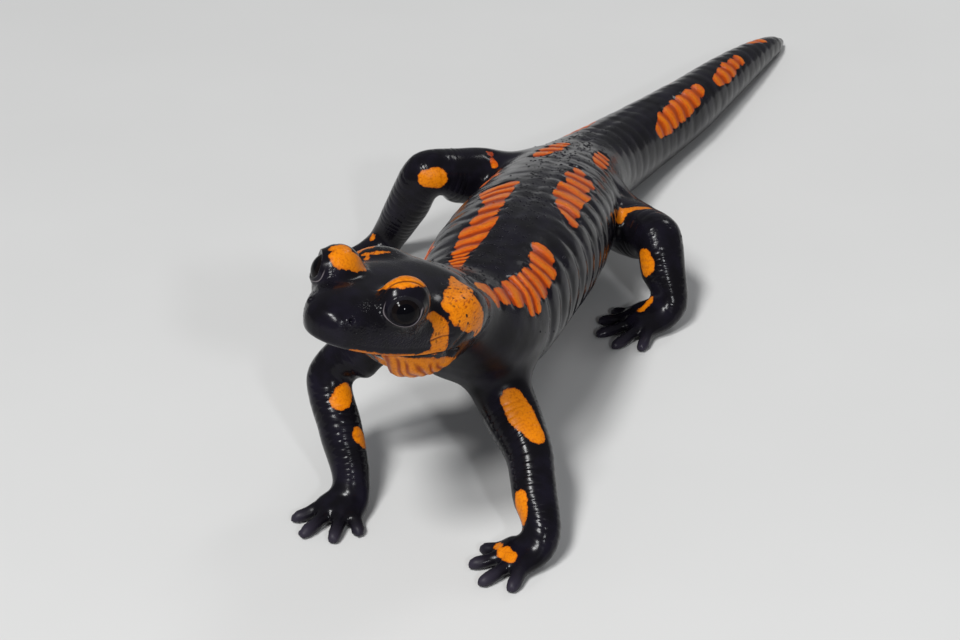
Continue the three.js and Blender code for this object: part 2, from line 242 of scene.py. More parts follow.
def closed_shell(rows):
    """A closed mesh over rows of rings: its points, its quads and the triangles of its two ends."""
    count, sides = rows.shape[:2]
    i, j = np.meshgrid(np.arange(count - 1), np.arange(sides), indexing="ij")
    a = i * sides + j
    b = i * sides + (j + 1) % sides
    quads = np.stack([a, a + sides, b + sides, b], -1).reshape(-1, 4)
    points = np.vstack([rows.reshape(-1, 3), rows[0].mean(0), rows[-1].mean(0)])
    j = np.arange(sides)
    k = (j + 1) % sides
    start = np.stack([np.full(sides, len(points) - 2), j, k], -1)
    turn = (count - 1) * sides
    end = np.stack([np.full(sides, len(points) - 1), turn + k, turn + j], -1)
    return points, quads, np.vstack([start, end])


def new_mesh(name, shell):
    points, quads, triangles = shell
    mesh = bpy.data.meshes.new(name)
    mesh.from_pydata(points.tolist(), [], quads.tolist() + triangles.tolist())
    return mesh


def new_piece(name, mesh):
    piece = bpy.data.objects.new(name, mesh)
    bpy.context.scene.collection.objects.link(piece)
    return piece


def faced_outward(mesh):
    build = bmesh.new()
    build.from_mesh(mesh)
    bmesh.ops.recalc_face_normals(build, faces=build.faces)
    build.to_mesh(mesh)
    build.free()


# ---- The head's directions and the spine ----

HEAD_FORWARD = np.array([
    np.cos(HEAD_PITCH) * np.cos(HEAD_YAW), np.cos(HEAD_PITCH) * np.sin(HEAD_YAW), np.sin(HEAD_PITCH)])
level_left = np.array([-np.sin(HEAD_YAW), np.cos(HEAD_YAW), 0])
HEAD_LEFT = level_left * np.cos(HEAD_ROLL) + np.cross(HEAD_FORWARD, level_left) * np.sin(HEAD_ROLL)
HEAD_UP = np.cross(HEAD_FORWARD, HEAD_LEFT)


def on_head(behind, left, up):
    """A place from the head's own measures: behind the snout's tip, to the left, and up."""
    return SNOUT - HEAD_FORWARD * behind + HEAD_LEFT * left + HEAD_UP * up


def pair_place(sizes, side):
    """Where one of a pair of features sits, such as an eye; side is 1 on the left, -1 on the right."""
    return on_head(sizes["behind"], side * sizes["out"], sizes["up"])


def head_direction(forward, left, up):
    return unit(HEAD_FORWARD * forward + HEAD_LEFT * left + HEAD_UP * up)


class Spine:
    """The centre line from snout to tail tip, with its cross directions, by distance in mm."""

    def __init__(self):
        head = [on_head(k * HEAD_LENGTH / 3, 0, 0) for k in range(4)]
        path = Path(head + SPINE_BEHIND_HEAD)
        places = path.at(np.linspace(0, path.last, 6001))
        steps = np.linalg.norm(np.diff(places, axis=0), axis=1)
        self.length = np.concatenate([[0], np.cumsum(steps)])
        self.places = places

    def at(self, distance):
        distance = np.atleast_1d(np.asarray(distance, float))
        return np.stack([np.interp(distance, self.length, self.places[:, k]) for k in range(3)], -1)

    def directions(self, distance):
        distance = np.atleast_1d(np.asarray(distance, float))
        travel = unit(self.at(distance + 0.05) - self.at(distance - 0.05))
        lean = smoothstep(distance, TWIST_FROM, TWIST_TO)[:, None]
        up = HEAD_UP * (1 - lean) + np.array([0, 0, 1.0]) * lean
        return travel, *cross_directions(travel, up)


SPINE = Spine()


def furrow(distance):
    """0 on the ribs of the flank, 1 in the middle of a costal groove."""
    step = (GROOVES["last"] - GROOVES["first"]) / (GROOVES["count"] - 1)
    phase = (distance - GROOVES["first"]) / step
    inside = (phase > -0.5) & (phase < GROOVES["count"] - 0.5)
    return np.where(inside, bell(phase - np.round(phase), 0.16), 0)


def body_shell():
    distance = np.concatenate([
        BODY_STATIONS[3, 0] * np.linspace(0, 1, 24) ** 2,
        np.arange(BODY_STATIONS[3, 0] + 0.3, BODY_LENGTH, 0.45), [BODY_LENGTH]])
    width, above, below, roundness = keyed(BODY_STATIONS, distance)
    width = width - GROOVES["depth"] * furrow(distance)
    _, left, up = SPINE.directions(distance)
    sections = rings(SPINE.at(distance), left, up, width, above, below, BODY_SIDES, roundness)
    return closed_shell(sections)


# ---- Legs ----

ELBOW, ANKLE, PALM_END = 3, 5, 7  # places along a leg, counted in points of its path


class Leg:
    """One leg: its path, its thickness along it, and the shells of the limb and of its digits."""

    def __init__(self, sizes):
        self.sizes = sizes
        heading = np.radians(sizes["heading"])
        self.ahead = np.array([np.cos(heading), np.sin(heading), 0])
        self.across = np.array([-self.ahead[1], self.ahead[0], 0])
        root, shoulder, joint, ankle = (np.array(point, float) for point in sizes["points"])
        self.palm, self.end = (self.on_sole(ankle, sizes["palm_length"] * share) for share in (0.55, 1))
        self.path = Path([root, shoulder, (shoulder + joint) / 2, joint, (joint + ankle) / 2, ankle,
                          self.palm, self.end])
        self.stations = [
            (0, sizes["root"], sizes["root"]),
            (1, sizes["root"], sizes["root"]),
            (2, sizes["upper"], sizes["upper"]),
            (ELBOW, sizes["joint"], sizes["joint"]),
            (4, sizes["lower"], sizes["lower"]),
            (ANKLE, sizes["ankle"] * 1.08, sizes["ankle"]),
            (6, sizes["palm_width"], sizes["palm_thick"]),
            (PALM_END, sizes["palm_width"] * 0.62, sizes["palm_thick"] * 0.62),
        ]

    def on_sole(self, ankle, far):
        place = ankle + self.ahead * far
        place[2] = self.sizes["palm_thick"] - SUNK
        return place

    def directions(self, place):
        return cross_directions(self.path.travel(place, 1.0), np.array([0, 0, 1.0]))

    def shell(self):
        place = np.linspace(0, PALM_END, 90)
        width, thick = keyed(self.stations, place)
        left, up = self.directions(place)
        sections = rings(self.path.at(place), left, up, width, thick, thick, LEG_SIDES, LEG_ROUNDNESS)
        return closed_shell(sections)

    def digit_shells(self):
        sizes = self.sizes
        count = len(sizes["digits"])
        for number, length in enumerate(sizes["digits"]):
            place = number - (count - 1) / 2
            turn = np.radians(sizes["side"] * place * sizes["fan"])
            way = self.ahead * np.cos(turn) + self.across * np.sin(turn)
            base = self.palm + self.across * sizes["side"] * place * sizes["palm_width"] * 1.1 / count
            reach = sizes["palm_width"] * 0.55 + length
            share = np.sin(np.linspace(0, np.pi / 2, 26))
            radius = keyed([(0, DIGIT["base"]), (0.5, DIGIT["middle"]), (0.88, DIGIT["tip"] * 1.04),
                            (1, DIGIT["tip"])], share)[0]
            radius = radius + 0.07 * np.sin(share * 3 * np.pi) * (share < 0.85)
            rounding = np.clip((share - 1 + DIGIT["tip"] / reach) / (DIGIT["tip"] / reach), 0, 1)
            radius = radius * np.sqrt(np.maximum(1 - rounding**2, 0.002))
            centres = base + way * (reach * share)[:, None]
            rise = smoothstep(share, 0, 0.8)
            lift = DIGIT["arch"] * 0.5 * np.sin(np.pi * share)
            centres[:, 2] = base[2] * (1 - rise) + (DIGIT["tip"] - SUNK) * rise + lift
            left, up = cross_directions(np.broadcast_to(way, centres.shape), np.array([0, 0, 1.0]))
            yield closed_shell(rings(centres, left, up, radius, radius, radius, DIGIT_SIDES))


LEG_SHAPES = {name: Leg(sizes) for name, sizes in LEGS.items()}


# ---- The body as one field of distances ----


class Field:
    """Distances to the surface of a growing shape, on a grid; shells melt into it."""

    def __init__(self, low, high):
        self.low = np.floor(np.asarray(low) / VOXEL).astype(int) - BAND
        self.shape = np.ceil(np.asarray(high) / VOXEL).astype(int) + BAND - self.low
        self.values = np.full(self.shape, BAND * VOXEL, np.float32)

    def window(self, points):
        low = np.floor(points.min(0) / VOXEL).astype(int) - BAND
        high = np.ceil(points.max(0) / VOXEL).astype(int) + BAND
        low = np.maximum(low, self.low)
        high = np.minimum(high, self.low + self.shape)
        return low, tuple(slice(a, b) for a, b in zip(low - self.low, high - self.low))

    def melt(self, room, part, softness):
        """Joins a part's distances, rounding the inner corner between the two over the softness."""
        mine = self.values[room]
        overlap = np.maximum(softness - np.abs(mine - part), 0) / softness
        self.values[room] = np.minimum(mine, part) - overlap**2 * softness / 4

    def add_shell(self, shell, softness):
        points, quads, triangles = shell
        grid = openvdb.FloatGrid.createLevelSetFromPolygons(
            points.astype(np.float32), triangles=triangles.astype(np.uint32),
            quads=quads.astype(np.uint32), transform=openvdb.createLinearTransform(VOXEL),
            halfWidth=BAND)
        low, room = self.window(points)
        part = np.full(self.values[room].shape, BAND * VOXEL, np.float32)
        grid.copyToArray(part, ijk=tuple(int(v) for v in low))
        self.melt(room, part, softness)

    def add_field(self, other, points, softness):
        _, room = self.window(points)
        self.melt(room, other.values[room], softness)

    def surface(self):
        """The skin as points, quads and triangles, cut flat where it meets the floor."""
        height = (np.arange(self.shape[2]) + self.low[2]) * VOXEL
        values = np.maximum(self.values, -height[None, None, :].astype(np.float32))
        grid = openvdb.FloatGrid(BAND * VOXEL)
        grid.transform = openvdb.createLinearTransform(VOXEL)
        grid.copyFromArray(values, ijk=tuple(int(v) for v in self.low))
        points, triangles, quads = grid.convertToPolygons(0.0, 0.0)
        return points.astype(float), quads, triangles


def ellipsoid_shell(centre, axes, radii):
    """An egg-like shell; axes are its long, thick and high directions."""
    polar = np.linspace(0, np.pi, 33)[1:-1]
    along = -np.cos(polar) * radii[0]
    size = np.sin(polar)
    centres = centre + along[:, None] * axes[0]
    left = np.broadcast_to(axes[1], centres.shape)
    up = np.broadcast_to(axes[2], centres.shape)
    _, thick, high = (radius * size for radius in radii)
    return closed_shell(rings(centres, -left, up, thick, high, high, GLAND_SIDES))


def parotoid_shell(side):
    toe = np.radians(side * PAROTOID["toe"])
    long = HEAD_FORWARD * np.cos(toe) + HEAD_LEFT * np.sin(toe)
    thick = np.cross(HEAD_UP, long)
    return ellipsoid_shell(pair_place(PAROTOID, side), (long, thick, HEAD_UP),
                           (PAROTOID["long"], PAROTOID["thick"], PAROTOID["high"]))


def lid_shell(side):
    centre = on_head(LID["behind"], side * LID["side"], LID["up"][side])
    return ellipsoid_shell(centre, (HEAD_FORWARD, HEAD_LEFT, HEAD_UP),
                           (LID["long"], LID["out"], LID["high"]))


def body_surface():
    shell = body_shell()
    leg_shells = {name: leg.shell() for name, leg in LEG_SHAPES.items()}
    everything = np.vstack([shell[0]] + [leg_shell[0] for leg_shell in leg_shells.values()])
    low, high = everything.min(0) - 8, everything.max(0) + 8
    body = Field(low, high)
    body.add_shell(shell, 0.01)
    for side in (1, -1):
        body.add_shell(parotoid_shell(side), 1.6)
        body.add_shell(lid_shell(side), 1.2)
    for name, leg_shell in leg_shells.items():
        limb = Field(low, high)
        limb.add_shell(leg_shell, 0.01)
        reach = leg_shell[0]
        for digit in LEG_SHAPES[name].digit_shells():
            limb.add_shell(digit, 0.7)
            reach = np.vstack([reach, digit[0]])
        body.add_field(limb, reach, 2.6)
    return body.surface()


# ---- Refining the skin where it carries fine shapes ----

MOUTH_LINE = [(0, -2.3), (3, -2.5), (8, -2.65), (12, -2.4), (15, -2.05), (17.4, -2.3)]
NOSTRIL = dict(behind=1.6, out=3.0, up=1.3, radius=0.27, depth=0.42, ring=0.44, ring_height=0.14)
MOUTH_CORNER = dict(behind=17.0, out=7.9, up=-2.35, radius=0.65, depth=0.5)
LIPS = dict(cut=0.34, cut_width=0.13, edge=0.10, inset=0.26, chin_inset=0.18)
CHEEK_AT = dict(behind=13.4, out=7.6, up=0.2)
LEG_CLEARANCE = 6.0  # how near a leg's middle line the belly keeps all its faces
BELLY_KEPT = 0.82  # share of its faces that the rest of the belly keeps
LEG_REACH = 32.0  # no part of a leg is farther than this from its middle


def head_measures(points):
    """Behind the snout's tip, to the left, and up, in the head's own directions."""
    offset = points - SNOUT
    return -(offset @ HEAD_FORWARD), offset @ HEAD_LEFT, offset @ HEAD_UP


def above_mouth(behind, up):
    return up - keyed(MOUTH_LINE, behind)[0]


def eye_centre(side):
    return pair_place(EYE, side)


def eye_axis(side):
    """The way the eye on that side looks."""
    forward, out, up = EYE["looks"]
    return head_direction(forward, side * out, up)


def nostril_place(side):
    return pair_place(NOSTRIL, side)


def head_needs(points):
    """True where the head's skin is refined for the first time."""
    behind, _, _ = head_measures(points)
    return (behind < 22.5) & (points[:, 2] > 22)


def face_needs(points):
    """True along the lids, the nostrils and the lips, where it is refined again."""
    behind, _, up = head_measures(points)
    need = (np.abs(above_mouth(behind, up)) < 0.45) & (behind < 18)
    for side in (1, -1):
        offset = points - eye_centre(side)
        far = np.linalg.norm(offset, axis=1)
        facing = offset @ eye_axis(side)
        need |= (far < 4.2) & (facing > 0.15 * far)
        need |= distance_between(points, nostril_place(side)) < 0.9
    return need


def vectors_of(items, name):
    flat = np.empty(len(items) * 3, np.float32)
    items.foreach_get(name, flat)
    return flat.reshape(-1, 3).astype(float)


def coordinates(mesh):
    return vectors_of(mesh.vertices, "co")


def outward(mesh):
    return vectors_of(mesh.vertex_normals, "vector")


def set_coordinates(mesh, points):
    mesh.vertices.foreach_set("co", points.astype(np.float32).ravel())
    mesh.update()


def edge_ends(mesh):
    flat = np.empty(len(mesh.edges) * 2, np.int32)
    mesh.edges.foreach_get("vertices", flat)
    return flat.reshape(-1, 2).T


def neighbour_sums(ends, values):
    """For each point, the values of the points next to it added up."""
    a, b = ends
    return np.bincount(a, values[b], len(values)) + np.bincount(b, values[a], len(values))


def neighbour_counts(ends, points):
    return np.maximum(neighbour_sums(ends, np.ones(len(points))), 1)


def smoothed(mesh, rounds):
    """Takes out small facets without shrinking the shape."""
    ends = edge_ends(mesh)
    points = coordinates(mesh)
    count = neighbour_counts(ends, points)[:, None]
    grounded = points[:, 2] < 1e-4
    for step in [0.5, -0.53] * rounds:
        mean = np.stack([neighbour_sums(ends, points[:, k]) for k in range(3)], -1) / count
        points = points + step * (mean - points)
        points[grounded, 2] = 0
    points[:, 2] = np.maximum(points[:, 2], 0)
    set_coordinates(mesh, points)


def thinned(mesh, weight, ratio):
    """The same surface with fewer faces where the weight is 1."""
    piece = new_piece("thinning", mesh)
    group = piece.vertex_groups.new(name="plain")
    group.add(np.flatnonzero(weight > 0.5).tolist(), 1.0, "REPLACE")
    change = piece.modifiers.new("thin", "DECIMATE")
    change.ratio = ratio
    change.vertex_group = group.name
    ready = piece.evaluated_get(bpy.context.evaluated_depsgraph_get())
    result = bpy.data.meshes.new_from_object(ready)
    bpy.data.objects.remove(piece)
    bpy.data.meshes.remove(mesh)
    return result


def refined(mesh, needs):
    build = bmesh.new()
    build.from_mesh(mesh)
    build.faces.ensure_lookup_table()
    centres = np.array([face.calc_center_median() for face in build.faces])
    chosen = np.flatnonzero(needs(centres))
    edges = {edge for i in chosen for edge in build.faces[i].edges}
    ordered = sorted(edges, key=lambda edge: edge.index)
    bmesh.ops.subdivide_edges(build, edges=ordered, cuts=1, use_grid_fill=True)
    build.to_mesh(mesh)
    build.free()
    mesh.update()


def plain_skin():
    mesh = new_mesh("skin", body_surface())
    smoothed(mesh, 5)
    points = coordinates(mesh)
    down = outward(mesh)[:, 2] < -0.35
    trunk = (points[:, 0] < 28) & (points[:, 2] > 0.3)
    clear = np.ones(len(points), bool)
    for leg in LEG_SHAPES.values():
        middle = leg.path.at(np.linspace(1, PALM_END, 40))
        for place in middle:
            clear &= distance_between(points, place) > LEG_CLEARANCE
    mesh = thinned(mesh, down & trunk & clear, BELLY_KEPT)
    refined(mesh, head_needs)
    smoothed(mesh, 4)
    refined(mesh, face_needs)
    smoothed(mesh, 3)
    return mesh


# ---- Where each point of the skin sits on the animal ----


class Places:
    """The measures that the folds, markings and glands follow, one value for each point.

    limb is 0 on the body and 1 on a leg, and limb_place counts the points of the leg's path.
    """

    def __init__(self, points):
        self.points = points
        self.behind, self.left, self.up = head_measures(points)
        self.along, self.around, self.turn = self.on_body(points)
        self.limb = np.zeros(len(points))
        self.limb_along = np.zeros(len(points))
        self.limb_place = np.zeros(len(points))
        for leg in LEG_SHAPES.values():
            self.add_limb(leg)

    @staticmethod
    def on_body(points, at_once=8000):
        """Distance along the body, distance round it from the top, and that turn in degrees."""
        stations = np.arange(0, BODY_LENGTH + 0.01, 0.5)
        centres = SPINE.at(stations)
        travel, left, up = SPINE.directions(stations)
        along = np.empty(len(points))
        angle = np.empty(len(points))
        for start in range(0, len(points), at_once):
            batch = slice(start, start + at_once)
            part = points[batch]
            gaps = part[:, None] - centres[None]
            nearest = np.argmin((gaps**2).sum(2), 1)
            rows = np.arange(len(part))
            offset = gaps[rows, nearest]
            beyond = (offset * travel[nearest]).sum(1)
            along[batch] = stations[nearest] + beyond
            across = (offset * left[nearest]).sum(1)
            upward = (offset * up[nearest]).sum(1)
            angle[batch] = np.arctan2(across, upward)
        width, above, _, _ = keyed(BODY_STATIONS, along)
        return along, angle * (width + above) / 2, np.degrees(angle)

    def add_limb(self, leg):
        place = np.linspace(0, PALM_END, 141)
        centres = leg.path.at(place)
        length = np.concatenate([[0], np.cumsum(np.linalg.norm(np.diff(centres, axis=0), axis=1))])
        width, thick = keyed(leg.stations, place)
        middle = centres[len(centres) * 4 // 7]
        near = np.flatnonzero(distance_between(self.points, middle) < LEG_REACH)
        gaps = self.points[near, None] - centres[None]
        far = np.linalg.norm(gaps, axis=2)
        nearest = np.argmin(far, 1)
        rows = np.arange(len(near))
        size = np.maximum(width, thick)[nearest]
        travel = leg.path.travel(place, 0.2)
        beyond = (gaps[rows, nearest] * travel[nearest]).sum(1)
        snug = 1 - smoothstep(far[rows, nearest] / size, 1.25, 1.6)
        share = smoothstep(place[nearest], 1.15, 1.9) * snug
        more = share > self.limb[near]
        chosen = near[more]
        self.limb[chosen] = share[more]
        self.limb_along[chosen] = (length[nearest] + beyond)[more]
        self.limb_place[chosen] = place[nearest][more]


def wander(points, size, seed):
    """Slow unevenness between -1 and 1, with lumps of about that size in mm."""
    shift = Vector((seed * 17.1, seed * 3.7, seed * 9.3))
    return np.array([noise.noise(Vector(point / size) + shift) for point in points])


# ---- Folds, grooves and openings of the skin ----

CREASE_AT = (20, 45, 95, 118, 195)  # along the body, in mm
CREASE_COUNT = (0, 9.5, 22, 29, 52)  # cross folds up to there
LIMB_CREASE_STEP = 0.95
FOLD_DEPTH = dict(limb=0.012, black=0.013, orange=0.25, tail=0.045, spine=0.16, throat=0.10)
TAIL_RING_STEP = 3.1
BACK_MIDDLE = 1.2  # the back's groove and glands lie this far to the left of the middle line
THROAT_STEP = 1.1
THROAT_FROM = (3, 8)  # the throat's folds begin over these distances behind the snout
THROAT_TO = (22.5, 24.5)  # and end over these distances along the body
NAPE = dict(at=23.6, wide=0.75, depth=0.16, turn=65)
COLLAR = dict(at=24.6, wide=0.7, depth=0.34)
VENT = dict(at=106, height=0.55, slit=0.5)


def groove(phase, sharp):
    """1 in the middle of each groove, one groove for each whole turn of the phase."""
    return bell(phase - np.round(phase), sharp)


def creases(places):
    """The running count of cross folds, and how strong they are, for the body and the limbs."""
    bend = wander(places.points, 7.0, 1) * 1.3 + wander(places.points, 2.4, 2) * 0.55
    to_right = np.maximum(0.8 - places.around, 0)
    slant = 0.85 * to_right**2 / (to_right + 1.5) * (1 - smoothstep(places.along, 70, 100))
    body_phase = np.interp(places.along + bend + slant, CREASE_AT, CREASE_COUNT)
    limb_phase = (places.limb_along + bend * 0.6) / LIMB_CREASE_STEP
    on_limb = places.limb > 0.5
    phase = np.where(on_limb, limb_phase, body_phase)
    strength = np.abs(places.limb * 2 - 1) ** 1.5
    trunk = smoothstep(places.along, 23.0, 29.0)
    tail = smoothstep(places.along, 165, 190)
    tail_root = smoothstep(places.along, 105, 125)
    strength = np.where(on_limb, strength * (1 - smoothstep(places.limb_place, 4.9, 5.6)),
                        strength * trunk * (1 - 0.25 * tail_root - 0.4 * tail))
    return phase, strength


def throat_share(places):
    """1 on the throat, 0 elsewhere."""
    under = smoothstep(-above_mouth(places.behind, places.up), 0.9, 1.8)
    return under * (1 - smoothstep(places.along, *THROAT_TO)) * smoothstep(places.behind, *THROAT_FROM)


def throat_count(places):
    """The running count of the slanting folds of the throat."""
    slant = places.up + 0.5 * places.behind + 0.3 * np.abs(places.left)
    return (slant + 0.6 * wander(places.points, 3.0, 6)) / THROAT_STEP


def even_runs(mesh, phase, strength):
    """Lets the folds fade out where their count jumps from one part of the body to another."""
    ends = edge_ends(mesh)
    a, b = ends
    points = coordinates(mesh)
    rate = np.abs(phase[a] - phase[b]) / np.maximum(distance_between(points[a], points[b]), 0.02)
    worst = np.zeros(len(points))
    np.maximum.at(worst, a, rate)
    np.maximum.at(worst, b, rate)
    for _ in range(3):
        spread = np.maximum(worst[a], worst[b])
        np.maximum.at(worst, a, spread)
        np.maximum.at(worst, b, spread)
    kept = 1 - smoothstep(worst, 1.3, 2.0)
    for _ in range(3):
        kept = np.minimum(kept, neighbour_sums(ends, kept) / neighbour_counts(ends, kept))
    return strength * kept


def fold_skin(mesh, places):
    points = coordinates(mesh)
    normals = outward(mesh)
    phase, strength = creases(places)
    strength = even_runs(mesh, phase, strength)
    banded = smoothstep(markings(places), -0.4, 0.2)
    patchy = 0.65 + 0.7 * wander(points, 3.2, 8)
    depth = np.where(places.limb > 0.5, FOLD_DEPTH["limb"],
                     FOLD_DEPTH["black"] + FOLD_DEPTH["orange"] * banded)
    lift = -depth * strength * patchy * (0.6 * groove(phase, 0.26) + 0.4 * groove(phase, 0.10))
    lift += 0.07 * wander(points, 2.9, 3) * smoothstep(places.along, 24, 34)
    lift += 0.022 * wander(points, 1.3, 9) * strength

    tail_turn = smoothstep(places.along, 108, 118) * (1 - places.limb)
    tail_ring = (places.along + 0.5 * wander(points, 5, 11)) / TAIL_RING_STEP
    lift -= FOLD_DEPTH["tail"] * tail_turn * groove(tail_ring, 0.2)
    spine_line = between(places.along, (34, 44), (120, 150))
    lift -= FOLD_DEPTH["spine"] * spine_line * bell(places.around - BACK_MIDDLE * (1 - tail_turn), 0.75)

    turned = np.abs(places.turn)
    nape = bell(places.along - NAPE["at"] - 0.6 * wander(points, 5, 4), NAPE["wide"])
    lift -= NAPE["depth"] * nape * (turned < NAPE["turn"])
    collar = bell(places.along - COLLAR["at"] + 0.5 * wander(points, 5, 5), COLLAR["wide"])
    lift -= COLLAR["depth"] * collar * smoothstep(turned, 85, 110)

    throat = throat_share(places) * (1 - places.limb)
    lift -= FOLD_DEPTH["throat"] * throat * groove(throat_count(places), 0.24)

    past_vent = places.along - VENT["at"]
    lift += VENT["height"] * bell(past_vent, 2.4) * bell(turned - 180, 26)
    lift -= VENT["slit"] * bell(past_vent, 1.9) * bell(turned - 180, 5)

    lift *= smoothstep(points[:, 2], 0.02, 0.3)
    set_coordinates(mesh, points + normals * lift[:, None])


def cheek_crease(places, side):
    line = bell(places.up + 0.45 - 0.33 * (places.behind - 12.2), 0.15)
    line *= between(places.behind, (11.5, 12.0), (14.8, 15.3))
    return line * (side * places.left > 5)


def brow_crease(opening, high, side):
    return bell(opening - 2.0, 0.075) * smoothstep(high, 0.1, 0.6) * (1.0 if side > 0 else 0.2)


def part_lips(mesh, places):
    points = coordinates(mesh)
    normals = outward(mesh)
    over = above_mouth(places.behind, places.up)
    reach = (1 - smoothstep(places.behind, 16.6, 17.6)) * (np.abs(places.turn) > 40)
    lift = -LIPS["cut"] * bell(over, LIPS["cut_width"])
    lift += LIPS["edge"] * bell(over - 0.5, 0.42)
    inset = LIPS["inset"] * (1 - smoothstep(-over, 0.3, 2.4))
    inset = inset + LIPS["chin_inset"] * smoothstep(-over, 0.3, 0.9) * (places.behind < 9)
    lift -= np.where(over < 0, inset, 0)
    second = between(places.behind, (2, 4), (12, 14))
    lift -= 0.05 * second * bell(over - 1.15, 0.14)
    lift *= reach
    for side in (1, -1):
        corner = distance_between(points, pair_place(MOUTH_CORNER, side))
        lift -= MOUTH_CORNER["depth"] * bell(corner, MOUTH_CORNER["radius"])
        behind_cheek = side * places.left > 5
        crease = bell(places.behind - 16.6 - 0.25 * places.up, 0.35) * (np.abs(places.up + 0.5) < 2.2)
        lift -= 0.16 * crease * behind_cheek
        lift -= 0.16 * cheek_crease(places, side)
        away = distance_between(points, nostril_place(side))
        lift += NOSTRIL["ring_height"] * bell(away - NOSTRIL["ring"], 0.15)
        lift -= NOSTRIL["depth"] * bell(away, NOSTRIL["radius"])
    # the chin and the middle of the throat are shallow, and the sides of the throat hang a little
    under = (places.along < 24) & (over < 0)
    centre = 1 - smoothstep(np.abs(places.left), 1.8, 4.4)
    chin_end = places.behind - 4.5 * centre
    chin = smoothstep(places.behind, 0.8, 2.5) * (1 - smoothstep(chin_end, 8.2, 11.6))
    hang = between(places.behind, (10.5, 13.5), (17, 21))
    shallow = chin * np.clip(0.8 * (-over - 0.15), 0, 1.2)
    rise = under * (shallow - 0.5 * (1 - centre) * hang * smoothstep(-over, 0.3, 1.8))
    set_coordinates(mesh, points + normals * lift[:, None] + HEAD_UP * rise[:, None])


OPENING = dict(front=42.0, back=48.0, top=39.0, bottom=35.0)
LID_LINE = dict(front=60.0, back=50.0, top=60.0, bottom=39.5)  # the pale edge of the lower lid
LID_EDGE = dict(top=0.46, bottom=0.18)


def lid_measures(points, side, outline=OPENING):
    """Each point's distance from the eye's middle, its place against the outline, which is 1 on it,
    and how high it is round the eye, from -1 to 1."""
    offset = points - eye_centre(side)
    far = np.maximum(np.linalg.norm(offset, axis=1), 1e-6)
    axis = eye_axis(side)
    front = unit(HEAD_FORWARD - axis * (HEAD_FORWARD @ axis))
    high = np.cross(axis, front) * side
    if high @ HEAD_UP < 0:
        high = -high
    away = np.degrees(np.arccos(np.clip(offset @ axis / far, -1, 1)))
    x, y = offset @ front, offset @ high
    spread = np.maximum(np.hypot(x, y), 1e-6)
    cos, sin = x / spread, y / spread
    wide = np.where(cos > 0, outline["front"], outline["back"])
    tall = np.where(sin > 0, outline["top"], outline["bottom"])
    rim = 1 / np.sqrt((cos / wide) ** 2 + (sin / tall) ** 2)
    return far, away / rim, sin


def open_eyes(mesh):
    points = coordinates(mesh)
    for side in (1, -1):
        far, opening, high = lid_measures(points, side)
        near = far < 4.6
        thicker = LID_EDGE["top"] - LID_EDGE["bottom"]
        edge = LID_EDGE["bottom"] + thicker * smoothstep(high, -0.4, 0.5)
        inside = EYE["radius"] - 0.4
        rim = inside + (EYE["radius"] + 0.05 - inside) * smoothstep(opening, 0.90, 0.99)
        rim = rim + edge * smoothstep(opening, 0.98, 1.14)
        fold = np.maximum(far, EYE["radius"] + edge * 0.75)
        wanted = rim + (fold - rim) * smoothstep(opening, 1.15, 1.75)
        upper = smoothstep(high, 0.1, 0.6)
        wanted = wanted - 0.17 * brow_crease(opening, high, side)
        wanted = wanted - 0.08 * (1 - upper) * bell(opening - 1.55, 0.07)
        wanted = np.where(near & (opening < 2.6), wanted, far)
        centre = eye_centre(side)
        points = centre + (points - centre) * (wanted / far)[:, None]
    set_coordinates(mesh, points)


# ---- Markings ----

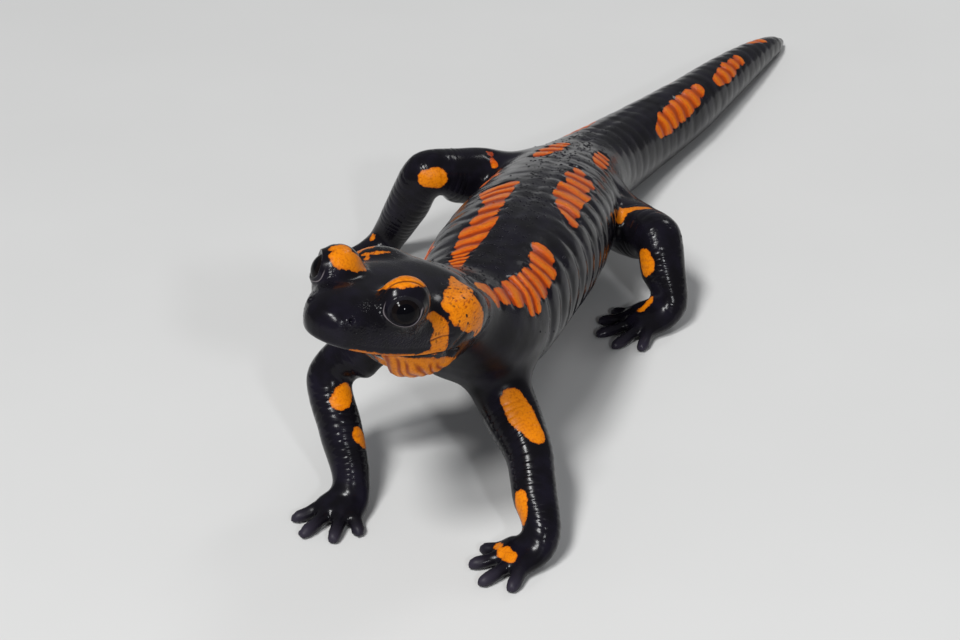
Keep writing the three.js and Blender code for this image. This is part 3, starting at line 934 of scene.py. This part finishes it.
# Each marking is a chain of places and the half width of the marking there. The places are in the
# head's own measures, or along and round the body, or for the limbs in the body's own frame.
HEAD_MARKS = {
    "brow_left": [
        (6.9, 1.9, 4.1, 0.3), (6.2, 3.5, 5.5, 0.75), (6.8, 4.6, 6.4, 1.2), (8.3, 5, 7, 1.55),
        (10, 4.9, 6.2, 1.15), (11.2, 5.2, 5, 0.4),
    ],
    "brow_right": [
        (6.3, -4.4, 5.1, 0.8), (6.8, -3.8, 5.2, 1.4), (8, -3, 5.1, 1.25), (9.8, -2.7, 4.6, 0.7),
    ],
    "brow_right_top": [(7, -5.1, 5.7, 0.7), (7.7, -4.5, 6, 0.95)],
    "crown_right": [(13, -4.6, 4.2, 0.3), (14.8, -5.5, 4.1, 0.4), (15.6, -5.9, 4, 0.2)],
    "crown_right_far": [(15.4, -6.4, 3.9, 0.25), (16.8, -5.6, 4.2, 0.4), (18.7, -5, 4.5, 0.2)],
    "parotoid_left": [
        (14.9, 6.6, 3, 1), (16.8, 6.5, 3.8, 1.8), (18.6, 5.6, 4.4, 1.5), (20, 3.9, 4.6, 0.9),
        (20.8, 2.9, 4.6, 0.4),
    ],
    "parotoid_left_low": [(15.4, 7.4, 2.2, 1.2), (17.3, 8.2, 2.4, 1.9), (18.6, 8.6, 1.6, 1)],
    "parotoid_left_rear": [(18, 7.4, 3.4, 1.5), (18.9, 8.4, 2.2, 1.25), (19.6, 8.8, 0.6, 0.8)],
    "parotoid_right": [
        (15.4, -7, 2.8, 0.9), (18, -7.3, 2.6, 1.9), (20.6, -6.2, 2.4, 1.6), (21.8, -4.2, 3.8, 0.5),
    ],
    "cheek_left": [
        (10.3, 7.2, 2.9, 0.45), (12.2, 6.9, 2.3, 0.7), (13.1, 7.3, 1.3, 1.05), (13.3, 7.7, 0.1, 1.35),
        (13.9, 7.7, -1.3, 1.25), (13, 7.4, -1.9, 0.6), (11.6, 7, -2.2, 0.4), (10.4, 6.7, -2.5, 0.22),
    ],
    "cheek_right": [
        (12.6, -7.3, 1.6, 0.7), (13.6, -7.8, 0.2, 1.2), (13, -7.7, -1.4, 0.8), (10.8, -6.9, -2.4, 0.25),
    ],
    "lip_left": [
        (10.4, 6.75, -2.4, 0.36), (8, 6.2, -2.42, 0.36), (5.5, 5.2, -2.35, 0.33),
        (2.6, 3.4, -2.2, 0.27),
    ],
    "lip_right": [(10.4, -6.75, -2.4, 0.3), (6, -5.4, -2.4, 0.22)],
    "throat_left_front": [
        (4.6, 3.4, -2.9, 0.45), (6.4, 4.2, -3.1, 0.6), (8.6, 4.6, -3.9, 1.1), (10.6, 4.4, -4.9, 1.3),
    ],
    "throat_middle": [(14, -0.1, -6.1, 0.6), (14.4, 0.9, -6.4, 1.2), (14.8, 2.6, -6.7, 1.7)],
    "throat_left": [
        (6.8, 4.8, -3.4, 0.5), (10, 5.6, -4.2, 1.3), (14, 6.4, -4.6, 2.1), (17.2, 6.9, -4.4, 1.7),
        (18.6, 7.2, -3.4, 0.6),
    ],
    "throat_left_low": [(11.6, 4.4, -5.8, 1.3), (14.4, 4.6, -6.6, 1.9), (17.2, 5.4, -6.2, 1.6)],
    "throat_right": [(9, -5.2, -4, 0.6), (13, -6, -4.8, 1.6), (16.6, -6.6, -4.4, 1.2)],
}
BODY_MARKS = {
    "back_right": [
        (31.2, -2.6, 0.3), (34.5, -2.9, 0.9), (40, -3, 1.45), (45, -2.9, 1.85), (51, -3.1, 2.1),
        (58, -3.1, 2), (64, -3.8, 2.2), (68.8, -4.9, 2.5), (70.6, -3.6, 1.5),
    ],
    "back_left": [
        (24.6, 5, 0.7), (27.2, 5.8, 1.5), (32, 6.4, 1.9), (37.2, 7.7, 1.95), (41.5, 8.2, 2.2),
        (45.2, 7.8, 2.2), (47.8, 6.9, 1.7),
    ],
    "back_left_prong": [(34.6, 9, 1.2), (36.4, 10, 0.8)],
    "side_left": [
        (60.2, 8.4, 1.3), (63.8, 7, 2.2), (69, 6, 2.1), (74.5, 6.2, 2.3), (79, 6, 2.3), (83, 5.4, 1.6),
        (86, 4.4, 0.9),
    ],
    "hip_middle": [(90.5, -2.6, 1.3), (96, -1.6, 1.9), (101.5, -1, 1.3)],
    "hip_left": [(94, 7, 1), (99, 6.2, 1.5), (104, 5.6, 1)],
    "tail_first": [(113, -4.4, 1.1), (118, -4, 1.6), (123, -4.4, 1)],
    "tail_left": [
        (130.4, 5.8, 0.9), (134.5, 4.9, 1.9), (140.5, 4, 2.4), (146, 3.3, 2), (149.6, 2.6, 0.9),
    ],
    "tail_next": [(156, 3.2, 0.8), (159.5, 3, 1.4), (164, 2.3, 1.6), (169, 1.8, 1.1)],
    "tail_right": [(146, -4.6, 0.9), (150.5, -4.2, 1.4), (155, -4.4, 0.8)],
    "tail_end": [(179.5, -0.6, 0.8), (184, 0.2, 1.1)],
    "flank_right": [(44, -11.6, 1.2), (48.5, -10.8, 1.8), (53, -11.2, 1.2)],
    "flank_right_next": [(77, -9.4, 1), (82, -8.4, 1.7), (87.5, -8.8, 1.1)],
}
LIMB_MARKS = {
    "arm_left": [(36.9, 7.8, 15.8, 1.5), (38.1, 9.2, 14.4, 1.8), (39.4, 11.3, 12.5, 1.2)],
    "forearm_left": [(45.6, 10.6, 7.4, 1.1), (46.5, 10.5, 6.2, 1.4), (47.4, 10.6, 4.9, 1.1)],
    "hand_left": [(49.9, 9.6, 2.4, 0.9), (50.8, 10.7, 2.4, 0.9)],
    "hand_left_lobe": [(48.4, 8.6, 2, 0.7), (49, 9, 2.3, 0.5)],
    "arm_right": [(35.9, -14.2, 13, 1.4), (37, -14.2, 12.6, 1.4)],
    "forearm_right": [(38.8, -11.1, 9.2, 1.1), (38.2, -10.6, 7.9, 1)],
    "thigh_left": [
        (-20.2, 10.8, 12.8, 0.7), (-22.3, 11.2, 13.3, 0.8), (-23, 12.8, 13.6, 0.8),
        (-22.8, 14.6, 13.8, 0.7),
    ],
    "shank_left": [(-15.2, 15.8, 10, 1.2), (-14.3, 15.9, 9, 1.5), (-14.2, 15.6, 8, 0.9)],
    "foot_left": [(-13, 16.8, 4.2, 0.7), (-11.8, 15.8, 3.2, 0.6)],
    "knee_right": [(-20.5, -17.9, 16.2, 1.3), (-20.9, -16.4, 16.2, 1.6)],
    "hip_right": [(-28.8, -10.2, 17.2, 0.8), (-26.6, -9, 16.2, 0.6)],
    "foot_right": [(-23.6, -25.6, 5.2, 0.9), (-22.6, -26.6, 4, 0.8)],
}


def inside_chain(points, chain):
    """Distance in from the edge of a marking, less than 0 outside it."""
    chain = np.asarray(chain, float)
    best = np.full(len(points), -99.0)
    for start, end in zip(chain[:-1], chain[1:]):
        way = end[:-1] - start[:-1]
        share = np.clip(((points - start[:-1]) @ way) / (way @ way), 0, 1)
        near = start[:-1] + share[:, None] * way
        width = start[-1] + share * (end[-1] - start[-1])
        best = np.maximum(best, width - distance_between(points, near))
    return best


def markings(places):
    """How far in from the edge of an orange marking each point is, in mm."""
    value = np.full(len(places.points), -9.0)
    on_head_now = np.stack([places.behind, places.left, places.up], -1)
    front = places.behind < 26
    for chain in HEAD_MARKS.values():
        value[front] = np.maximum(value[front], inside_chain(on_head_now[front], chain))
    back = (places.along > 22) & (places.limb < 0.6)
    flat = np.stack([places.along, places.around], -1)
    for chain in BODY_MARKS.values():
        value[back] = np.maximum(value[back], inside_chain(flat[back], chain))
    for chain in LIMB_MARKS.values():
        value = np.maximum(value, inside_chain(places.points, chain))
    over = above_mouth(places.behind, places.up)
    shut = (places.behind < 18) & (places.along < 20)
    value = np.where(shut, value - 1.2 * bell(over + 0.06, 0.12), value)
    return np.maximum(value, -3.0)


GLAND_SHARE = dict(row=0.42, face=0.35, flanks=0.006)


def give(mesh, name, values):
    layer = mesh.attributes.new(name, "FLOAT", "POINT")
    layer.data.foreach_set("value", np.asarray(values, np.float32))


def mark_folds(mesh, places, marking):
    phase, strength = creases(places)
    banded = smoothstep(marking, -0.5, 0.1)
    kept = np.where(places.limb > 0.5, 0.55, 0.04 + 0.96 * banded)
    strength = even_runs(mesh, phase, strength) * kept
    throat = throat_share(places)
    on_throat = throat * (1 - places.limb) > 0.02
    # the shader also paints shade along these folds, as much as fold_strength and throat say
    give(mesh, "fold_count", np.where(on_throat, throat_count(places), phase))
    give(mesh, "fold_strength", np.where(on_throat, throat * 0.8, strength))
    give(mesh, "throat", np.where(on_throat, throat, 0))


def mark_pores(mesh, points):
    pores = np.zeros(len(points))
    for side in (1, -1):
        gland = on_head(PAROTOID["behind"], side * (PAROTOID["out"] + 1), PAROTOID["up"] + 0.6)
        cheek = pair_place(CHEEK_AT, side)
        pores = np.maximum(pores, 1 - smoothstep(distance_between(points, gland), 3.6, 5.0))
        pores = np.maximum(pores, 0.5 * (1 - smoothstep(distance_between(points, cheek), 1.8, 2.6)))
    give(mesh, "pores", pores)


def mark_lids(mesh, places):
    """Gives the pale edge of the lower lids, the smooth skin round the eyes and the painted shade of
    the brow and cheek creases.
    """
    points = places.points
    lid_line = np.full(len(points), 2.0)
    lid_reach, smooth_lid, crease_shade = np.zeros((3, len(points)))
    for side in (1, -1):
        far, line, high = lid_measures(points, side, LID_LINE)
        _, opening, _ = lid_measures(points, side)
        near = far < 4.4
        lid_line = np.where(near, np.minimum(lid_line, line), lid_line)
        lid_reach = np.maximum(lid_reach, near * (1 - smoothstep(high, 0.15, 0.45)))
        smooth_lid = np.maximum(smooth_lid, near * (1 - smoothstep(opening, 1.3, 1.8)))
        # painted shade along the brow's crease and the cheek's crease
        crease_shade = np.maximum(crease_shade, near * brow_crease(opening, high, side))
        crease_shade = np.maximum(crease_shade, cheek_crease(places, side))
    for name, values in (("lid_line", lid_line), ("lid_reach", lid_reach),
                         ("smooth_lid", smooth_lid), ("crease_shade", crease_shade)):
        give(mesh, name, values)
    return smooth_lid


def mark_glands(mesh, places, smooth_lid):
    """Gives the fine granules of the face, and where the small glands stand and how large they are."""
    sides_of_head = np.abs(places.left)
    face = (1 - smoothstep(places.behind, 9, 14)) * smoothstep(places.up, -2.0, -0.6)
    face *= smoothstep(sides_of_head, 1.6, 3.2) * (1 - smoothstep(places.up, 3.2, 4.4))
    give(mesh, "granules", 0.05 + 0.95 * face)
    back = between(places.along, (22, 28), (105, 125))
    row = back * bell(places.around - BACK_MIDDLE, 3.2)
    patches = smoothstep(wander(places.points, 1.6, 12), -0.35, 0.35)
    glands = GLAND_SHARE["flanks"] * back * (np.abs(places.turn) < 100)
    glands = np.maximum(glands, GLAND_SHARE["row"] * row * patches)
    glands = np.maximum(glands, GLAND_SHARE["face"] * face)
    glands *= 1 - smooth_lid
    glands *= 1 - smoothstep(places.limb, 0.1, 0.5) * 0.8
    give(mesh, "glands", glands)
    give(mesh, "gland_size", np.where(places.behind < 20, 0.30, 0.95))


def mark_toes(mesh, points):
    tips = np.zeros(len(points))
    for leg in LEG_SHAPES.values():
        gap = distance_between(points, leg.palm)
        reach = leg.sizes["palm_width"] * 0.55 + max(leg.sizes["digits"])
        tips = np.maximum(tips, smoothstep(gap, reach * 0.45, reach) * (gap < reach * 1.2))
    give(mesh, "toe", tips * (points[:, 2] < 3))


def mark_skin(mesh, places):
    """Gives each point of the skin the values that its finish follows."""
    marking = markings(places)
    give(mesh, "marking", marking)
    mark_folds(mesh, places, marking)
    body = smoothstep(places.along, 23.5, 27.0)
    give(mesh, "deep_orange", body * (1 - smoothstep(places.limb, 0.2, 0.6)))
    mark_pores(mesh, places.points)
    smooth_lid = mark_lids(mesh, places)
    lip = bell(above_mouth(places.behind, places.up) - 0.2, 0.6) * (places.behind < 18)
    give(mesh, "ragged", 1 - 0.8 * lip)
    under_neck = bell(places.along - 31, 8) * smoothstep(np.abs(places.turn), 60, 100)
    give(mesh, "dull", under_neck * (1 - places.limb))
    mark_glands(mesh, places, smooth_lid)
    mark_toes(mesh, places.points)


# ---- Finishes ----


def feed(tree, socket, value):
    """Links a socket to what other nodes work out, or sets it to a plain value."""
    source = getattr(value, "socket", value)
    if isinstance(source, bpy.types.NodeSocket):
        tree.links.new(source, socket)
    else:
        socket.default_value = value


def new_node(tree, kind, settings, inputs):
    made = tree.nodes.new(kind)
    for name, value in (settings or {}).items():
        setattr(made, name, value)
    for name, value in inputs.items() if isinstance(inputs, dict) else enumerate(inputs):
        feed(tree, made.inputs[name], value)
    return made


class Value:
    """A socket that takes part in sums: each sum adds its own node."""

    def __init__(self, finish, socket):
        self.finish = finish
        self.socket = socket

    def maths(self, operation, *others):
        return self.finish.node("ShaderNodeMath", dict(operation=operation), [self, *others])

    def __add__(self, other):
        return self.maths("ADD", other)

    def __sub__(self, other):
        return self.maths("SUBTRACT", other)

    def __rsub__(self, other):
        return self.finish.node("ShaderNodeMath", dict(operation="SUBTRACT"), [other, self])

    def __mul__(self, other):
        return self.maths("MULTIPLY", other)

    __radd__ = __add__
    __rmul__ = __mul__

    def most(self, other):
        return self.maths("MAXIMUM", other)

    def whole(self):
        return self.maths("FLOOR")

    def size(self):
        return self.maths("ABSOLUTE")

    def ramp(self, low, high):
        """0 below the low value, 1 above the high one, smooth between."""
        settings = dict(interpolation_type="SMOOTHSTEP")
        inputs = {"Value": self, "From Min": low, "From Max": high}
        return self.finish.node("ShaderNodeMapRange", settings, inputs)


class Finish:
    """A material under construction."""

    def __init__(self, name, **shader):
        self.material = bpy.data.materials.new(name)
        self.material.use_nodes = True
        self.tree = self.material.node_tree
        self.tree.nodes.clear()
        output = self.tree.nodes.new("ShaderNodeOutputMaterial")
        self.shader = self.tree.nodes.new("ShaderNodeBsdfPrincipled")
        self.tree.links.new(self.shader.outputs[0], output.inputs[0])
        for socket, value in shader.items():
            self.shader.inputs[socket.replace("_", " ")].default_value = value

    def node(self, kind, settings=None, inputs=(), output=0):
        return Value(self, new_node(self.tree, kind, settings, inputs).outputs[output])

    def drive(self, name, value):
        feed(self.tree, self.shader.inputs[name], value)

    def attribute(self, name):
        return self.node("ShaderNodeAttribute", dict(attribute_name=name), output="Fac")

    def place(self):
        """The point's own place in millimetres."""
        here = self.node("ShaderNodeTexCoord", output="Object")
        inputs = {0: here, "Scale": 1000.0}
        return self.node("ShaderNodeVectorMath", dict(operation="SCALE"), inputs)

    def clouds(self, place, size, detail=2.0):
        """Soft noise between 0 and 1 with lumps of about that size in millimetres."""
        inputs = {"Vector": place, "Scale": 1.0 / size, "Detail": detail}
        return self.node("ShaderNodeTexNoise", None, inputs, "Fac")

    def cells(self, place, size, feature="F1"):
        """How far each point is from the middle of its cell."""
        inputs = {"Vector": place, "Scale": 1.0 / size}
        return self.node("ShaderNodeTexVoronoi", dict(feature=feature), inputs, "Distance")

    def stretched(self, place, scale):
        return self.node("ShaderNodeMapping", None, {"Vector": place, "Scale": scale})

    def mix(self, share, low, high):
        """A colour between two colours."""
        settings = dict(data_type="RGBA", clamp_factor=True)
        return self.node("ShaderNodeMix", settings, {0: share, 6: low, 7: high}, output=2)

    def bump(self, height):
        """Relief from a height in millimetres."""
        inputs = {"Strength": 1.0, "Distance": 0.001, "Height": height}
        return self.node("ShaderNodeBump", None, inputs)


BLACK = (0.0045, 0.0040, 0.0055, 1)
# violet tint of the black: a painted sheen of reflected light
VIOLET_SHEEN_BLACK = (0.0080, 0.0068, 0.0125, 1)
TOE_GREY = (0.040, 0.034, 0.052, 1)
GOLD = (0.70, 0.205, 0.003, 1)
ORANGE = (0.62, 0.103, 0.002, 1)
# red-brown: painted shade in the folds, and also the orange's own dark specks, streaks and thin edges
RED_BROWN_SHADE_AND_MOTTLE = (0.24, 0.024, 0.002, 1)
SHADOW_RUST = (0.07, 0.012, 0.003, 1)
PORE_BROWN = (0.022, 0.006, 0.003, 1)
LID_PALE = (0.16, 0.14, 0.15, 1)
# sizes of the patterns, and heights of the relief, in millimetres
PATTERN = dict(ragged=0.6, crumbs=0.16, tint=2.4, grains=0.26, dots=0.17, streaks=0.22,
               pores=0.78, pore_edges=0.3, violet_sheen=3.0, damp=1.6, uneven=0.7)
RELIEF = dict(granules=0.080, black=0.006, orange=0.012, folds=0.06, pores=0.09, streaks=0.012,
              dots=0.010)
GLOSS = dict(rough=0.12, damp=0.14, orange=0.14, dull=0.28)


def wet_skin():
    """Glossy black skin with serrated orange markings, pores, folds and fine granules."""
    skin = Finish("wet_black_and_orange_skin", IOR=1.34, Specular_IOR_Level=0.27)
    place = skin.place()
    count = skin.attribute("fold_count")
    strength = skin.attribute("fold_strength")
    deep = skin.attribute("deep_orange")
    pore_zone = skin.attribute("pores")

    # one number for each fold, so that neighbouring folds end unevenly at a marking's edge
    fold = count.whole() + 0.5
    own = skin.node("ShaderNodeTexWhiteNoise", dict(noise_dimensions="1D"), {"W": fold}, "Value")
    to_middle = (count - (count + 0.5).whole()).size()
    groove_line = 1 - to_middle.ramp(0.03, 0.34)
    crest_highlight = to_middle.ramp(0.18, 0.46)
    ragged = (skin.clouds(place, PATTERN["ragged"], 3.0) - 0.5) * 0.62
    ragged = ragged + (skin.clouds(place, PATTERN["crumbs"], 1.0) - 0.5) * 0.2
    stepped = ((own - 0.5) * 1.1 - groove_line * 0.42) * strength * deep
    edge = skin.attribute("marking") + ragged * skin.attribute("ragged") + stepped
    orange = edge.ramp(-0.05, 0.07)

    tint = skin.clouds(place, PATTERN["tint"])
    # Painted highlight: the crests of the folds are painted lighter, towards gold, and their grooves
    # stay deeper orange.
    warm = (deep * (1.0 - crest_highlight * 0.62) + tint * 0.45 - 0.14).ramp(0.0, 1.0)
    coat = skin.mix(warm, GOLD, ORANGE)
    doubled = count * 2.0 + tint * 1.6
    side_line = 1 - (doubled - (doubled + 0.5).whole()).size().ramp(0.0, 0.14)
    # Painted shade: the grooves of the folds, with fine lines beside them, and the throat's folds are
    # darkened towards red-brown.
    groove_shade = (groove_line + side_line * 0.35).ramp(0.0, 1.0) * strength * (0.06 + 0.89 * deep)
    coat = skin.mix(groove_shade.most(groove_line * skin.attribute("throat") * 0.85), coat, RED_BROWN_SHADE_AND_MOTTLE)
    thin = (1 - edge.ramp(0.0, 0.30)) * 0.45
    coat = skin.mix(thin, coat, RED_BROWN_SHADE_AND_MOTTLE)
    grains = skin.cells(place, PATTERN["grains"], "SMOOTH_F1")
    dots = skin.clouds(place, PATTERN["dots"]).ramp(0.56, 0.72)
    coat = skin.mix(dots * 0.24 + grains.ramp(0.35, 0.75) * 0.30, coat, RED_BROWN_SHADE_AND_MOTTLE)

    combed = skin.stretched(place, (0.22, 0.8, 1.0))
    streak = skin.clouds(combed, PATTERN["streaks"]).ramp(0.55, 0.70) * pore_zone
    coat = skin.mix(streak * 0.7, coat, RED_BROWN_SHADE_AND_MOTTLE)
    pore_gap = skin.cells(skin.stretched(place, (1.0, 0.85, 0.62)), PATTERN["pores"])
    pore_gap = pore_gap + (skin.clouds(place, PATTERN["pore_edges"], 1.0) - 0.5) * 0.10
    pore = (1 - pore_gap.ramp(0.17, 0.24)) * pore_zone
    coat = skin.mix(pore * 0.95, coat, PORE_BROWN)
    # Painted shade in the creases of the brow and cheek.
    coat = skin.mix(skin.attribute("crease_shade").ramp(0.25, 0.9) * 0.85, coat, SHADOW_RUST)

    # Patches of violet in the black are a painted violet sheen, standing in for reflected light.
    night = skin.mix(skin.clouds(place, PATTERN["violet_sheen"]).ramp(0.35, 0.75), BLACK, VIOLET_SHEEN_BLACK)
    night = skin.mix(skin.attribute("toe") * 0.6, night, TOE_GREY)
    lid_edge = 1 - (skin.attribute("lid_line") - 1.0).size().ramp(0.008, 0.034)
    night = skin.mix(lid_edge * 0.8 * skin.attribute("lid_reach"), night, LID_PALE)
    skin.drive("Base Color", skin.mix(orange, night, coat))

    rough = GLOSS["rough"] + skin.clouds(place, PATTERN["damp"]) * GLOSS["damp"]
    rough = rough + orange * GLOSS["orange"] + skin.attribute("dull") * GLOSS["dull"]
    skin.drive("Roughness", rough)

    smooth_lid = skin.attribute("smooth_lid")
    granules = skin.attribute("granules") * (1 - smooth_lid)
    uneven = (RELIEF["black"] + orange * RELIEF["orange"]) * (1 - smooth_lid * 0.8)
    height = (0.5 - grains) * granules * RELIEF["granules"]
    height = height + (skin.clouds(place, PATTERN["uneven"]) - 0.5) * uneven
    height = height - groove_line * strength * RELIEF["folds"]
    height = height - pore * RELIEF["pores"] - streak * RELIEF["streaks"]
    height = height - dots * orange * RELIEF["dots"]
    skin.drive("Normal", skin.bump(height))
    return skin.material


IRIS = (0.003, 0.0022, 0.0025, 1), (0.007, 0.005, 0.005, 1)
PUPIL = (0.0015, 0.0015, 0.0025, 1)
EYE_RIM = (0.004, 0.0035, 0.005, 1)


def wet_eye():
    """A dark brown iris round a black pupil, under a clear wet surface."""
    eye = Finish("wet_dark_eye", Roughness=0.07, IOR=1.34, Specular_IOR_Level=0.16)
    off = eye.attribute("off_axis")
    place = eye.place()
    fibres = eye.clouds(place, 0.25, 3.0)
    iris = eye.mix(fibres, *IRIS)
    colour = eye.mix(off.ramp(25.0, 28.0), PUPIL, iris)
    colour = eye.mix(off.ramp(44.0, 50.0), colour, EYE_RIM)
    eye.drive("Base Color", colour)
    return eye.material


def pale_floor():
    floor = Finish("pale_matt_floor", Roughness=0.75)
    place = floor.place()
    shade = floor.clouds(place, 40.0, 3.0)
    floor.drive("Base Color", floor.mix(shade, (0.62, 0.62, 0.61, 1), (0.66, 0.66, 0.65, 1)))
    return floor.material


# ---- Pieces ----


def piece_from(mesh, name, material, nodes):
    mesh.name = name
    piece = new_piece(name, mesh)
    mesh.materials.clear()
    mesh.materials.append(material)
    mesh.shade_smooth()
    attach(piece, "root")
    if nodes:
        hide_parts(*nodes)
    return piece


def into_frame(mesh, shift):
    """Millimetres in the body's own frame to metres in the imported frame."""
    set_coordinates(mesh, (coordinates(mesh) + shift) * MM)


def eyeball(side):
    """A closed ball with a slight bulge in front; returns the mesh in the body's own frame."""
    axis = eye_axis(side)
    left, up = cross_directions(-axis[None], HEAD_UP)
    off = np.radians(np.linspace(0, 180, 65)[1:-1])
    radius = EYE["radius"] * (1 + 0.015 * bell(np.degrees(off), 45))
    centres = eye_centre(side) + axis * (np.cos(off) * radius)[:, None]
    size = np.sin(off) * radius
    left, up = (np.repeat(way, len(off), 0) for way in (left, up))
    rows = rings(centres, left, up, size, size, size, EYE_SIDES)
    mesh = new_mesh("eye", closed_shell(rows))
    faced_outward(mesh)
    direction = unit(coordinates(mesh) - eye_centre(side))
    give(mesh, "off_axis", np.degrees(np.arccos(np.clip(direction @ axis, -1, 1))))
    return mesh


def bead_tree(bead, material):
    """Small domes set over the skin, as densely as its 'glands' values say."""
    tree = bpy.data.node_groups.new("skin_glands", "GeometryNodeTree")
    for name, kind in (("Skin", "Geometry"), ("Per Square Metre", "Float"), ("Least Size", "Float"),
                       ("Most Size", "Float"), ("Seed", "Int")):
        tree.interface.new_socket(name, in_out="INPUT", socket_type=f"NodeSocket{kind}")
    tree.interface.new_socket("Glands", in_out="OUTPUT", socket_type="NodeSocketGeometry")

    def node(kind, inputs, **settings):
        return new_node(tree, kind, settings, inputs).outputs

    def on_skin(name):
        return node("GeometryNodeInputNamedAttribute", {"Name": name}, data_type="FLOAT")[0]

    def product(first, second):
        return node("ShaderNodeMath", [first, second], operation="MULTIPLY")[0]

    given = tree.nodes.new("NodeGroupInput").outputs
    density = product(on_skin("glands"), given["Per Square Metre"])
    spread = node("GeometryNodeDistributePointsOnFaces",
                  {"Mesh": given["Skin"], "Density": density, "Seed": given["Seed"]})
    limits = {2: given["Least Size"], 3: given["Most Size"], "Seed": given["Seed"]}
    size = product(node("FunctionNodeRandomValue", limits, data_type="FLOAT")[1], on_skin("gland_size"))
    shape = node("GeometryNodeObjectInfo", {"Object": bead})["Geometry"]
    placed = node("GeometryNodeInstanceOnPoints",
                  {"Points": spread["Points"], "Instance": shape,
                   "Rotation": spread["Rotation"], "Scale": size})[0]
    solid = node("GeometryNodeRealizeInstances", {"Geometry": placed})[0]
    finished = node("GeometryNodeSetMaterial", {"Geometry": solid, "Material": material})[0]
    new_node(tree, "NodeGroupOutput", None, {"Glands": finished})
    return tree


GLAND_ROWS = [(0.90, -0.30), (1.0, -0.08), (0.76, 0.14), (0.42, 0.33)]  # radius and height of each ring
GLAND_TOP = 0.42
GLANDS = {"Per Square Metre": 7.0e6, "Least Size": 0.00010, "Most Size": 0.00026, "Seed": 7}


def dome():
    """A low closed dome of unit radius that runs out flat at its edge, a few dozen faces."""
    sides = 8
    turn = np.linspace(0, 2 * np.pi, sides, endpoint=False)
    rows = []
    for size, height in GLAND_ROWS:
        rows.append(np.stack([size * np.cos(turn), size * np.sin(turn), np.full(sides, height)], -1))
    shell = closed_shell(np.array(rows))
    shell[0][-1, 2] = GLAND_TOP
    mesh = new_mesh("gland", shell)
    faced_outward(mesh)
    mesh.shade_smooth()
    return new_piece("gland_shape", mesh)


def glands_over(skin, material):
    shape = dome()
    tree = bead_tree(shape, material)
    carrier = new_piece("gland_carrier", skin.data.copy())
    change = carrier.modifiers.new("glands", "NODES")
    change.node_group = tree
    named = {item.name: item.identifier for item in tree.interface.items_tree if item.in_out == "INPUT"}
    for name, value in GLANDS.items():
        change[named[name]] = value
    ready = carrier.evaluated_get(bpy.context.evaluated_depsgraph_get())
    mesh = bpy.data.meshes.new_from_object(ready)
    carrier.modifiers.remove(change)
    bpy.data.objects.remove(carrier)
    bpy.data.objects.remove(shape)
    return mesh


# ---- Studio ----


def aimed(piece, place, at):
    piece.location = place
    piece.rotation_euler = (Vector(at) - Vector(place)).to_track_quat("-Z", "Y").to_euler()
    bpy.context.scene.collection.objects.link(piece)


MIDDLE = (0.03, 0.0, 0.02)
FACE = (0.05, 0.0, 0.036)
# name, place, what it is aimed at, size, watts and tint
SOFTBOXES = [
    ("fill", (0.445, 0.235, 0.265), MIDDLE, 0.04, 0.5, (0.95, 0.97, 1)),
    ("rim", (-0.36, 0.16, 0.34), MIDDLE, 0.12, 0.3, (1, 1, 1)),
    ("spark", (0.41, -0.04, 0.40), FACE, 0.09, 1.1, (1, 1, 1)),
]
SKY = dict(tint=(0.93, 0.95, 1.0, 1), strength=0.19)
KEY = dict(place=(0.47, -0.22, 0.82), strength=1.9, angle=11)
FLOOR_HALF = 3.0
CAMERA = dict(place=(261.0, 56.5, 155.0), at=(-9.0, -7.1, 0), lens=82.35, sensor=36)  # in mm


def new_light(name, kind, place, at, strength):
    light = bpy.data.lights.new(name, kind)
    light.energy = strength
    aimed(bpy.data.objects.new(name, light), place, at)
    return light


def studio(shift):
    world = bpy.data.worlds.new("studio")
    bpy.context.scene.world = world
    world.use_nodes = True
    sky = world.node_tree.nodes["Background"]
    sky.inputs[0].default_value = SKY["tint"]
    sky.inputs[1].default_value = SKY["strength"]
    bpy.context.scene.view_settings.view_transform = "Standard"

    key = new_light("key", "SUN", KEY["place"], (0, 0, 0), KEY["strength"])
    key.angle = np.radians(KEY["angle"])
    for name, place, at, size, watts, tint in SOFTBOXES:
        light = new_light(name, "AREA", place, at, watts)
        light.shape = "DISK"
        light.size = size
        light.color = tint

    corners = [(x * FLOOR_HALF, y * FLOOR_HALF, 0) for x, y in ((-1, -1), (1, -1), (1, 1), (-1, 1))]
    mesh = bpy.data.meshes.new("floor")
    mesh.from_pydata(corners, [], [(0, 1, 2, 3)])
    mesh.materials.append(pale_floor())
    new_piece("floor", mesh)

    lens = bpy.data.cameras.new("camera")
    lens.sensor_width = CAMERA["sensor"]
    lens.lens = CAMERA["lens"]
    lens.clip_start, lens.clip_end = 0.01, 20
    camera = bpy.data.objects.new("camera", lens)
    place, at = ((np.array(CAMERA[spot]) + shift) * MM for spot in ("place", "at"))
    aimed(camera, place.tolist(), at.tolist())
    bpy.context.scene.camera = camera


# ---- Assembly ----

FLESH = [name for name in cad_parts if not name.startswith("eye_")]

skin_mesh = plain_skin()
base = coordinates(skin_mesh)
middle_of_skin = (base.min(0) + base.max(0)) / 2
low, high = (np.array(corner) / MM for corner in cad_box)
to_frame = (low + high) / 2 - middle_of_skin
to_frame[2] = 0

places = Places(base)
fold_skin(skin_mesh, places)
part_lips(skin_mesh, places)
open_eyes(skin_mesh)
mark_skin(skin_mesh, places)
into_frame(skin_mesh, to_frame)

skin_finish = wet_skin()
skin = piece_from(skin_mesh, "skin", skin_finish, FLESH)
piece_from(glands_over(skin, skin_finish), "glands", skin_finish, [])

eye_finish = wet_eye()
for name, side in (("left", 1), ("right", -1)):
    ball = eyeball(side)
    into_frame(ball, to_frame)
    piece_from(ball, f"eyeball_{name}", eye_finish, [f"eye_{name}"])

studio(to_frame)
